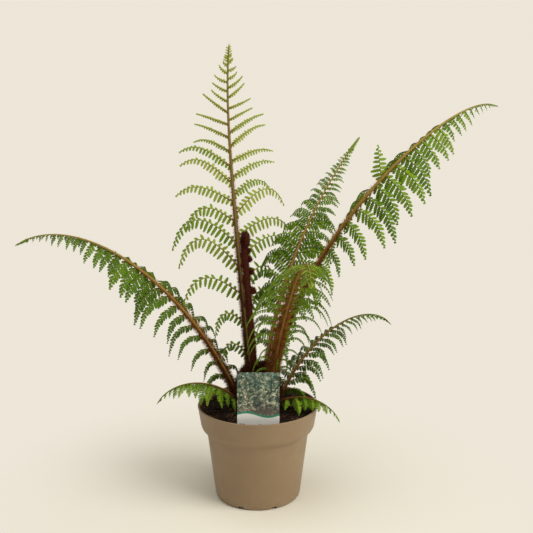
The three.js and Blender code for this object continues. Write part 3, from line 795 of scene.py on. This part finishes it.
TIP_BLADES = {"spacing": 0.48, "width": 2.64, "aim": (0.6, 0.8), "sink": 0.15, "last": 0.45, "step": 0.005}
GREENS = [
    (0.0, (0.036, 0.098, 0.003)), (0.35, (0.085, 0.200, 0.005)), (0.65, (0.175, 0.325, 0.010)),
    (1.0, (0.40, 0.48, 0.085)),
]
VEIN_GREEN = (0.24, 0.31, 0.05)
UNDER_GREEN = (0.11, 0.18, 0.02)
STALK_COLOURS = {
    "young": [(0.0, (0.18, 0.10, 0.022)), (0.25, (0.34, 0.35, 0.06)), (1.0, (0.36, 0.50, 0.09))],
    "old": [(0.0, (0.17, 0.085, 0.020)), (0.15, (0.17, 0.21, 0.024)), (1.0, (0.14, 0.28, 0.015))],
    "small": [(0.0, (0.15, 0.080, 0.018)), (0.25, (0.14, 0.14, 0.02)), (1.0, (0.10, 0.20, 0.012))],
}


def scatter(index, seed):
    """Even scatter from -1 to 1 that is the same on every run."""
    value = (index + 1) * GOLDEN + seed * SEED_STEP
    return 2 * (value - math.floor(value)) - 1


def share_at_step(frond, step):
    """Share of the rib where a pair stands. Pairs come closer towards the tip, most if crowding is small."""
    reach = 1 - frond["first"] + frond["crowding"]
    return 1 + frond["crowding"] - reach * (frond["crowding"] / reach) ** (step / frond["pairs"])


def length_share(frond, t):
    """Length of a leaflet against the longest: growing up to the widest place, then shrinking to the tip."""
    if t < frond["widest"]:
        return mix(frond["foot_share"], 1, smoothstep(t, frond["first"], frond["widest"]))
    x = (t - frond["widest"]) / (1 - frond["widest"])
    return (1 - x ** frond["bow"]) ** frond["taper"]


def stalk_heading(leaflet, u):
    """Way that a stalk runs at the share u of its length."""
    return (leaflet["start"] - UP * (leaflet["hang"] + leaflet["droop"] * u**DROOP_POWER)).normalized()


def stalk_points(leaflet):
    """Middle line of a stalk, from the rib to its tip."""
    return walked(leaflet["root"], lambda u: stalk_heading(leaflet, u), leaflet["length"], STALK_STEPS)


def leaflets_of(frond):
    """Every leaflet of a frond: where it leaves the rib, its length, and how it sets out and droops."""
    rib = rib_points(frond)
    for index in range(2 * frond["pairs"]):
        side = -1 if index % 2 else 1
        t = share_at_step(frond, index // 2 + (index % 2) * PAIR_OFFSET)
        lifted = index == frond["lifted"]
        length = frond["leaflet"] * length_share(frond, t) * (1 + JITTER["length"] * scatter(index, 1))
        length *= LIFT["length"] if lifted else 1
        if length < LEAST_LEAFLET:
            continue
        angle = math.radians(mix(*frond["angle"], t) + JITTER["angle"] * scatter(index, 2))
        droop = mix(*frond["droop"], t) * (1 + JITTER["droop"] * scatter(index, 3))
        along = along_at(frond, t)
        leaflet = {
            "index": index, "t": t, "side": side, "length": length, "root": point_on(rib, t), "along": along,
            "start": along * math.cos(angle) + side_at(frond, t) * (side * math.sin(angle)),
            "hang": -LIFT["rise"] if lifted else mix(*frond["hang"], t),
            "droop": 0 if lifted else droop,
        }
        yield {**leaflet, "points": stalk_points(leaflet)}


def pinnule_size(frond, u):
    """Length of a blade against the longest on its leaflet: full near the rib, shrinking to the tip."""
    fullest = frond["fullest"]
    shrunk = max(0, (u - fullest) / (1 - fullest)) ** 1.6
    return mix(0.55, 1, smoothstep(u, 0, fullest)) * (1 - shrunk) + frond["blunt"]


def pinnules_of(frond, leaflet):
    """Seats of the blades on a leaflet: point, aim, upper face, length, width and depth, and tint."""
    t = leaflet["t"]
    full = min(1, 1.25 * leaflet["length"] / frond["leaflet"]) ** 1.3
    longest = max(frond["least"], mix(*frond["pinnule"], smoothstep(t, *frond["span"])) * full)
    share = longest / max(frond["pinnule"])
    spacing = frond["spacing"] * mix(frond["closest"], 1, share)
    count = max(2, round(leaflet["length"] * 0.94 / spacing))
    fold = math.radians(mix(*frond["fold"], t))
    young = mix(*frond["tint"], t) + LEAFLET_TINTS["stray"] * scatter(leaflet["index"], 4)
    for k in range(2 * count + 1):
        last = k == 2 * count
        row = 1 if k % 2 else -1
        u = 1.0 if last else mix(*LEAFY_SHARE, (k // 2 + 0.5 * (k % 2) + 0.2) / count)
        number = leaflet["index"] * NUMBERS_APART + k
        heading = stalk_heading(leaflet, u)
        across = (leaflet["along"] - heading * leaflet["along"].dot(heading)).normalized()
        face = heading.cross(across) * -leaflet["side"]
        angle = math.radians(mix(*BLADE_ANGLE, u) + BLADE_STRAY["angle"] * scatter(number, 5))
        lean = fold + math.radians(BLADE_STRAY["lean"]) * scatter(number, 6)
        out = across * (row * math.cos(lean)) - face * math.sin(lean)
        aim = heading if last else heading * math.cos(angle) + out * math.sin(angle) - UP * frond["sink"]
        twist = row * math.sin(lean) + BLADE_STRAY["face"] * scatter(number, 7)
        size = longest * pinnule_size(frond, min(u, 0.99)) * (1 + BLADE_STRAY["size"] * scatter(number, 8))
        size *= mix(1, frond["upper_row"], smoothstep(out.z, 0.1, 0.6))
        width = spacing * mix(LEAST_COVER, mix(*frond["cover"], t), share) * mix(*BLADE_NARROWING, u)
        tint = young + LEAFLET_TINTS["tip"] * u + BLADE_STRAY["tint"] * scatter(number, 9)
        upper = face * math.cos(lean) + across * twist
        yield point_on(leaflet["points"], u), aim.normalized(), upper, (size, width, size), tint


def tip_seats(frond):
    """Seats of the blades straight on the rib past its leaflets, where a frond ends in one toothed tip."""
    rib = rib_points(frond)
    longest = frond["tip_blade"]
    start = 1.0
    while frond["leaflet"] * length_share(frond, start) < longest:
        start -= TIP_BLADES["step"]
    count = max(1, round((1 - start) * frond["length"] / (TIP_BLADES["spacing"] * longest)))
    ahead, out = TIP_BLADES["aim"]
    for k in range(2 * count + 1):
        last = k == 2 * count
        side = -1 if k % 2 else 1
        t = 1.0 if last else mix(start, 1, (k // 2 + 0.5 * (k % 2)) / count)
        along, across = along_at(frond, t), side_at(frond, t)
        aim = along if last else along * ahead + across * (out * side) - UP * TIP_BLADES["sink"]
        shrunk = mix(1, TIP_BLADES["last"], (t - start) / (1 - start))
        size = longest * shrunk * (1 + BLADE_STRAY["size"] * scatter(k, 8))
        tint = frond["tint"][1] + BLADE_STRAY["tint"] * scatter(k, 9)
        box = (size, TIP_BLADES["width"], size)
        yield point_on(rib, t), aim.normalized(), along.cross(across), box, tint


def toothed_blade():
    """One blade, a unit long and wide: a folded strip with round teeth that tapers to its tip."""
    points, faces, vein = [], [], []
    for i in range(BLADE_TEETH + 1):
        x = i / BLADE_TEETH
        tooth = min(1, x + BLADE_SHAPE["forward"] / BLADE_TEETH)
        wide = 0.5 * min(1, (x + 0.2) / 0.3) * (1 - BLADE_SHAPE["narrowed"] * x**4.5)
        points.append((x, 0, -BLADE_SHAPE["curl"] * x * x))
        vein.append(1.0)
        for side in (1, -1):
            for kind, ahead in (("notch", x), ("tooth", tooth)):
                out, crease = BLADE_SHAPE[kind]
                drop = BLADE_SHAPE["curl"] * ahead * ahead + crease * wide
                points.append((ahead, side * wide * out, -drop))
            vein += [0.25, 0.0]
    for i in range(BLADE_TEETH):
        for side in (0, 1):
            middle, notch, tooth = 5 * i, 5 * i + 1 + 2 * side, 5 * i + 2 + 2 * side
            ahead, next_notch = middle + 5, notch + 5
            strip = [(middle, tooth, notch), (middle, ahead, tooth), (ahead, next_notch, tooth)]
            faces += [face if side == 0 else face[::-1] for face in strip]
    used = sorted({corner for face in faces for corner in face})
    place = {old: new for new, old in enumerate(used)}
    faces = [tuple(place[corner] for corner in face) for face in faces]
    return [Vector(points[i]) / MM for i in used], faces, [vein[i] for i in used]


# Sprays: a blade on every seat, aimed and faced as the seat says
sprays, given, end = new_grower("sprays", Blade="Object")
seat = {label: named_value(sprays, label, "FLOAT_VECTOR") for label in ("aim", "upper", "size")}
inputs = {"Primary Axis": seat["aim"], "Secondary Axis": seat["upper"]}
aimed = made(sprays, "FunctionNodeAxesToRotation", inputs, primary_axis="X", secondary_axis="Z")
blade = add_node(sprays, "GeometryNodeObjectInfo", {"Object": given["Blade"], "As Instance": True})
spray = instances(sprays, given["Geometry"], blade.outputs["Geometry"], aimed, seat["size"])
for label in seat:
    spray = made(sprays, "GeometryNodeRemoveAttribute", {"Geometry": spray, "Name": label})
close_grower(sprays, spray, given, end)

# Stalks: round tubes along rows of edges, as thick as each point says
stalks, given, end = new_grower("stalks", Sides="Int")
path = made(stalks, "GeometryNodeMeshToCurve", {"Mesh": given["Geometry"]})
section = made(stalks, "GeometryNodeCurvePrimitiveCircle", {"Resolution": given["Sides"], "Radius": 1.0})
inputs = {"Curve": path, "Profile Curve": section, "Scale": named_value(stalks, "thick"), "Fill Caps": True}
swept = made(stalks, "GeometryNodeCurveToMesh", inputs)
close_grower(stalks, made(stalks, "GeometryNodeSetShadeSmooth", {"Geometry": swept}), given, end)

leaf_green, tree, shader = new_material("leaf_green", 0.6, Specular_IOR_Level=0.06)
dealt = ramp(tree, carried(tree, "tint"), GREENS)
vein = ranged(tree, carried(tree, "vein"), 0.3, 1.0, 0.0, 0.35)
veined = mixed(tree, vein, dealt, VEIN_GREEN)
patchy, relief = mottled(tree, veined, shaded(tree, veined, LEAF_SHADE), 70.0, 1.4)
under = add_node(tree, "ShaderNodeNewGeometry").outputs["Backfacing"]
dull = calc(tree, "MULTIPLY", under, 0.25)
paint(tree, shader, mixed(tree, dull, mixed(tree, 0.5, veined, patchy), UNDER_GREEN))
bumped(tree, shader, relief, 0.3, 0.0004)


def stalk_material(name, colours):
    """Skin of the thin stalks, brown where they leave the rib and green further out."""
    material, tree, shader = new_material(name, 0.6, Specular_IOR_Level=0.1)
    dealt = ramp(tree, carried(tree, "along"), colours)
    paint(tree, shader, mottled(tree, dealt, shaded(tree, dealt, LEAF_SHADE), 300.0, 1.4)[0])
    return material


def stalk_thickness(frond, leaflet):
    """Radius along a stalk: tapered, but stout and blunt where leaflets near a tip are still rolled up."""
    rolled = frond["rolled"] * smoothstep(leaflet["t"], *ROLLED_SPAN)
    stout = STALK_RADIUS[frond["rib"]] * min(1, 0.35 + leaflet["length"] / 90) * (1 + rolled) * MM
    tip = mix(STALK_TAPER["usual"], STALK_TAPER["rolled"], rolled)
    return [stout * mix(1, tip, i / STALK_STEPS) for i in range(STALK_STEPS + 1)]


stalk_finish = {}
for kind, colours in STALK_COLOURS.items():
    stalk_finish[kind] = stalk_material("leaf_stalk_" + kind, colours)
points, faces, vein = toothed_blade()
blade_pattern = new_piece("blade_pattern", points, faces, values={"vein": vein})
for frond in FRONDS:
    name = frond["nodes"][0]
    points, edges, thick, along = [], [], [], []
    blades = list(tip_seats(frond))
    for leaflet in leaflets_of(frond):
        blades += pinnules_of(frond, leaflet)
        start = len(points)
        points += leaflet["points"]
        edges += [(start + i, start + i + 1) for i in range(STALK_STEPS)]
        thick += stalk_thickness(frond, leaflet)
        along += [i / STALK_STEPS for i in range(STALK_STEPS + 1)]
    stalk = new_piece(name + "_stalks", points, [], edges, values={"thick": thick, "along": along})
    grow(stalk, stalks, Sides=STALK_SIDES, Material=stalk_finish[frond["rib"]])
    hand_over(stalk, frond["slot"])
    seats, aims, uppers, sizes, tints = zip(*blades)
    sizes = [[length * MM for length in size] for size in sizes]
    values = {"aim": aims, "upper": uppers, "size": sizes, "tint": tints}
    spray = new_piece(name + "_blades", seats, [], values=values)
    grow(spray, sprays, Blade=blade_pattern, Material=leaf_green)
    hand_over(spray, frond["slot"])
bpy.data.objects.remove(blade_pattern)

# Crozier: the youngest frond, still coiled at its tip, with its leaflets rolled into small fists along it.
# Its stalk stands up from the crown, and a dense coat of maroon hair covers all of it.
CROZIER = {"foot": Vector((-1, -4, 167)), "neck": Vector((-22.5, 46, 402)), "steps": 40, "sides": 14}
CROZIER_RADIUS = {"foot": 3.6, "neck": 5.2, "tip": 1.8}
COIL = {"azimuth": -70, "radius": 12, "shrink": 1.25, "turn": 7.4, "steps": 72}
FISTS = {
    "count": 4, "first": 15, "spacing": 13.5, "growth": 1.5, "radius": (4.8, 6.8), "reach": (6, 8),
    "tucked": 0.4, "innermost": 0.25, "turn": 9.5, "thickness": (2.9, 1.6), "steps": 30, "sides": 8,
}
CROZIER_HAIR = {
    "Density": 1.8e6, "Shortest": 1.2 * MM, "Longest": 3.2 * MM, "Thickness": 0.06, "Tangle": 0.8,
    "Lift": 0.3, "Seed": 51,
}
MAROON = (0.028, 0.006, 0.004)
MAROON_LIGHT = (0.13, 0.028, 0.011)


def rings_round(path, radii, sides):
    """Rings square to a path, each turned on from the one before so that the tube isn't twisted."""
    rings = []
    across = Vector((1, 0, 0))
    for i, centre in enumerate(path):
        along = (path[min(i + 1, len(path) - 1)] - path[max(i - 1, 0)]).normalized()
        across = (across - along * across.dot(along)).normalized()
        other = along.cross(across)
        turns = [2 * math.pi * k / sides for k in range(sides)]
        rings.append([centre + (across * math.cos(a) + other * math.sin(a)) * radii[i] for a in turns])
    return rings


def coiled(centre, out, up, radii, turn, steps):
    """Path that winds inwards round a centre, from one radius to another."""
    path = []
    for k in range(steps + 1):
        radius, angle = mix(*radii, k / steps), turn * k / steps
        path.append(centre - out * (radius * math.cos(angle)) + up * (radius * math.sin(angle)))
    return path


foot, neck = CROZIER["foot"], CROZIER["neck"]
rising = (neck - foot).normalized()
turning = math.radians(COIL["azimuth"])
inward = Vector((math.cos(turning), math.sin(turning), 0))
inward = (inward - rising * inward.dot(rising)).normalized()
across = inward.cross(rising)
shares = [k / CROZIER["steps"] for k in range(CROZIER["steps"])]
stem = [foot.lerp(neck, share) for share in shares]
radii = [mix(CROZIER_RADIUS["foot"], CROZIER_RADIUS["neck"], share) for share in shares]
outer, turn, steps = COIL["radius"], COIL["turn"], COIL["steps"]
stem += coiled(neck + inward * outer, inward, rising, (outer, outer - COIL["shrink"] * turn), turn, steps)
radii += [mix(CROZIER_RADIUS["neck"], CROZIER_RADIUS["tip"], k / steps) for k in range(steps + 1)]
points, faces = tube(rings_round(stem, radii, CROZIER["sides"]))
for i in range(2 * FISTS["count"]):
    step = i / 2
    share = step / FISTS["count"]
    below = FISTS["first"] + FISTS["spacing"] * (FISTS["growth"] ** step - 1) / (FISTS["growth"] - 1)
    outward = across * (1 if i % 2 else -1)
    reach = mix(*FISTS["reach"], share) * (FISTS["tucked"] if i % 2 else 1)
    middle = neck - rising * below + outward * reach
    widest = mix(*FISTS["radius"], share) - FISTS["thickness"][1]
    wound = (widest, widest * FISTS["innermost"])
    fist = coiled(middle, outward, rising, wound, FISTS["turn"], FISTS["steps"])
    thickness = [mix(*FISTS["thickness"], k / FISTS["steps"]) for k in range(FISTS["steps"] + 1)]
    more, sheets = tube(rings_round(fist, thickness, FISTS["sides"]))
    faces += [tuple(corner + len(points) for corner in sheet) for sheet in sheets]
    points += more
crozier = new_piece("crozier_stem", points, faces, values={"hairy": [1.0] * len(points)})
crozier.data.materials.append(matted_material("crozier_skin", MAROON, MAROON_LIGHT, 400.0))
hand_over(crozier, "crozier", "crozier")
maroon_hair = hair_material("crozier_hair", MAROON, MAROON_LIGHT)
hairs_on(crozier, "crozier_hairs", maroon_hair, "crozier", **CROZIER_HAIR)
bpy.data.objects.remove(strand_pattern)

# Label: a plant label die cut from printed polypropylene sheet, a card with round corners on a stake.
# The stake is pushed into the soil inside the lip. The print is a plain leafy pattern over a pale foot.
LABEL = {"x": 1.7, "y": -76, "top": 225, "width": 63, "thick": 0.8, "card_foot": 134, "edge": 0.15}
LABEL_CORNERS = {"top": 3, "foot": 2, "steps": 6}
STAKE = {"width": 24, "foot": 98}
PRINT_LEVELS = {"foot": 0.158, "band": 0.1615, "mauve": (0.178, 0.160), "teal": (0.19, 0.22)}
PRINT_WAVE = {"ripple": 95.0, "height": 0.0035}
PRINT_LEAVES = {"scale": 400.0, "stretch": 2.6, "leans": (0.75, -0.95), "bend": (0.012, 0.012, 0.012)}
CARD_WHITE = (0.80, 0.80, 0.77)
PRINT_COLOURS = [
    (0.28, (0.012, 0.028, 0.022)), (0.38, (0.05, 0.11, 0.075)), (0.47, (0.15, 0.22, 0.12)),
    (0.56, (0.31, 0.38, 0.22)), (0.72, (0.62, 0.60, 0.42)),
]
PRINT_MAUVE = (0.13, 0.075, 0.062)
PRINT_TEAL = (0.10, 0.24, 0.19)
PRINT_BAND = (0.02, 0.22, 0.12)


def label_outline():
    """Outline of the label, anticlockwise from the point of the stake, in width and height."""
    half, top, card = LABEL["width"] / 2, LABEL["top"], LABEL["card_foot"]
    stake, foot = STAKE["width"] / 2, STAKE["foot"]
    corner, cut, steps = LABEL_CORNERS["top"], LABEL_CORNERS["foot"], LABEL_CORNERS["steps"]
    outline = [(0, foot), (stake, foot + stake), (stake, card), (half - cut, card), (half, card + cut)]
    for middle, start in ((half - corner, 0), (corner - half, 90)):
        for k in range(steps + 1):
            angle = math.radians(start + 90 * k / steps)
            outline.append((middle + corner * math.cos(angle), top - corner + corner * math.sin(angle)))
    return outline + [(-half, card + cut), (cut - half, card), (-stake, card), (-stake, foot + stake)]


def leaf_cells(tree, place, lean):
    """Long leaf-shaped cells, all leaning one way: a colour for each and the distance from its middle."""
    inputs = {"Vector": place, "Rotation": (0, lean, 0), "Scale": (1.0, 1.0, PRINT_LEAVES["stretch"])}
    leaning = made(tree, "ShaderNodeMapping", inputs, vector_type="TEXTURE")
    inputs = {"Vector": leaning, "Scale": PRINT_LEAVES["scale"]}
    return add_node(tree, "ShaderNodeTexVoronoi", inputs).outputs


printed_card, tree, shader = new_material("printed_card", 0.32, Coat_Weight=0.05)
place = object_place(tree)
sideways, _, height = add_node(tree, "ShaderNodeSeparateXYZ", {0: place}).outputs
waver, strays = grain(tree, place, 170.0, 4.0)
bent = vector_calc(tree, "MULTIPLY_ADD", strays, PRINT_LEAVES["bend"], place)
turned_over = ranged(tree, grain(tree, place, 52.0, 1.0)[0], 0.47, 0.53)
left, right = (leaf_cells(tree, bent, lean) for lean in PRINT_LEAVES["leans"])
cells = mixed(tree, turned_over, left["Color"], right["Color"])
from_middle = mixed(tree, turned_over, left["Distance"], right["Distance"])
dealt = add_node(tree, "ShaderNodeSeparateColor", {0: cells}).outputs
broad = grain(tree, place, 70.0, 3.0)[0]
lit = calc(tree, "ADD", broad, calc(tree, "MULTIPLY_ADD", dealt[0], 0.46, -0.22))
leafy = ramp(tree, lit, PRINT_COLOURS)
cool = calc(tree, "MULTIPLY", ranged(tree, height, *PRINT_LEVELS["teal"]), dealt[2])
cooled = mixed(tree, cool, leafy, PRINT_TEAL)
planted = mixed(tree, ranged(tree, dealt[1], 0.84, 0.9, 0.0, 0.75), cooled, PRINT_MAUVE)
edges = ranged(tree, from_middle, 0.25, 0.75, 0.0, 0.95)
edged = mixed(tree, edges, planted, PRINT_COLOURS[0][1])
printed = mixed(tree, ranged(tree, height, *PRINT_LEVELS["mauve"], 0.0, 0.6), edged, PRINT_MAUVE)
wave = calc(tree, "SINE", calc(tree, "MULTIPLY", sideways, PRINT_WAVE["ripple"]))
level = calc(tree, "MULTIPLY_ADD", wave, PRINT_WAVE["height"], height)
banded = mixed(tree, calc(tree, "LESS_THAN", level, PRINT_LEVELS["band"]), printed, PRINT_BAND)
footed = mixed(tree, calc(tree, "LESS_THAN", level, PRINT_LEVELS["foot"]), banded, CARD_WHITE)
paint(tree, shader, dusted(tree, footed, BARK, LABEL["card_foot"] * MM, 0.008, 0.2))
tree.links.new(ranged(tree, waver, 0.3, 0.7, 0.26, 0.4), shader.inputs["Roughness"])

outline = label_outline()
front, back = LABEL["y"] - LABEL["thick"] / 2, LABEL["y"] + LABEL["thick"] / 2
points = [(LABEL["x"] + x, y, z) for y in (front, back) for x, z in outline]
count = len(outline)
faces = [tuple(range(count)), tuple(range(2 * count - 1, count - 1, -1))]
faces += [(k, k + count, (k + 1) % count + count, (k + 1) % count) for k in range(count)]
label = new_piece("label_card", points, faces)
bevel = label.modifiers.new("soft_edge", "BEVEL")
bevel.width = LABEL["edge"] * MM
bevel.segments = 2
bevel.limit_method = "ANGLE"
label.data.shade_flat()
label.data.materials.append(printed_card)
hand_over(label, "label", "label")

# Studio: the plant stands on a pale seamless floor under wide soft lights, the main one at the right.
# The floor runs out into the same cream as the room, so no edge shows behind the plant: from a little way
# out from the pot it is blended into a cream glow, which is painted light that also lightens the shadows
# cast on the floor.
CREAM = (0.848, 0.795, 0.69)
FLOOR_CREAM = (0.86, 0.835, 0.73)
FLOOR_SHADE = (0.83, 0.80, 0.69)
FLOOR_RADIUS = 9000
FLOOR_SIDES = 72
LIGHTS = {
    "key_light": ((2.1, -1.2, 2.0), (0, 0, 0.3), 2.2, 70, (1.0, 0.975, 0.92)),
    "top_light": ((-0.6, -0.3, 2.6), (0, 0, 0.2), 2.6, 26, (1.0, 0.975, 0.93)),
}
ROOM_LIGHT = 0.38
SENSOR = 36
CAMERA = {"place": (0.01395, -1.2, 0.585), "down": 10.13, "focal_pixels": 791, "picture_pixels": 533}

turns = [2 * math.pi * k / FLOOR_SIDES for k in range(FLOOR_SIDES)]
points = [(0, 0, 0), *((FLOOR_RADIUS * math.cos(a), FLOOR_RADIUS * math.sin(a), 0) for a in turns)]
floor = new_piece("floor", points, [(0, k + 1, (k + 1) % FLOOR_SIDES + 1) for k in range(FLOOR_SIDES)])
cream_paper, tree, shader = new_material("cream_paper", 0.8, Specular_IOR_Level=0.1)
paint(tree, shader, mottled(tree, FLOOR_CREAM, FLOOR_SHADE, 6.0, 0.6)[0])
far = add_node(tree, "ShaderNodeVectorMath", {0: object_place(tree)}, operation="LENGTH").outputs["Value"]
# Painted light: the floor takes on a cream glow more and more with distance from the pot, from 5 cm to half
# a metre, which lightens the shadows cast on it
floor_glow = made(tree, "ShaderNodeEmission", {"Color": CREAM, "Strength": 1.0})
glow_blend = made(tree, "ShaderNodeMixShader", {0: ranged(tree, far, 0.05, 0.5), 1: shader.outputs[0], 2: floor_glow})
tree.links.new(glow_blend, tree.nodes["Material Output"].inputs["Surface"])
floor.data.materials.append(cream_paper)


def soft_light(name, place, aim, size, power, colour):
    """Round soft lamp at a place, turned to a point."""
    lamp = bpy.data.lights.new(name, "AREA")
    lamp.shape = "DISK"
    lamp.size = size
    lamp.energy = power
    lamp.color = colour
    light = bpy.data.objects.new(name, lamp)
    light.location = place
    light.rotation_euler = (Vector(aim) - Vector(place)).to_track_quat("-Z", "Y").to_euler()
    bpy.context.scene.collection.objects.link(light)


for name, light in LIGHTS.items():
    soft_light(name, *light)
room = bpy.data.worlds.new("room")
room.use_nodes = True
tree = room.node_tree
seen = tree.nodes["Background"]
seen.inputs["Color"].default_value = (*CREAM, 1)
glow = made(tree, "ShaderNodeBackground", {"Color": CREAM, "Strength": ROOM_LIGHT})
to_camera = add_node(tree, "ShaderNodeLightPath").outputs["Is Camera Ray"]
sorted_rays = made(tree, "ShaderNodeMixShader", {0: to_camera, 1: glow, 2: seen.outputs[0]})
tree.links.new(sorted_rays, tree.nodes["World Output"].inputs["Surface"])
scene = bpy.context.scene
scene.world = room
scene.view_settings.view_transform = "Standard"

lens = bpy.data.cameras.new("camera")
lens.lens = CAMERA["focal_pixels"] / CAMERA["picture_pixels"] * SENSOR
lens.sensor_width = SENSOR
lens.clip_end = 50
camera = bpy.data.objects.new("camera", lens)
camera.location = CAMERA["place"]
camera.rotation_euler = (math.radians(90 - CAMERA["down"]), 0, 0)
scene.collection.objects.link(camera)
scene.camera = camera
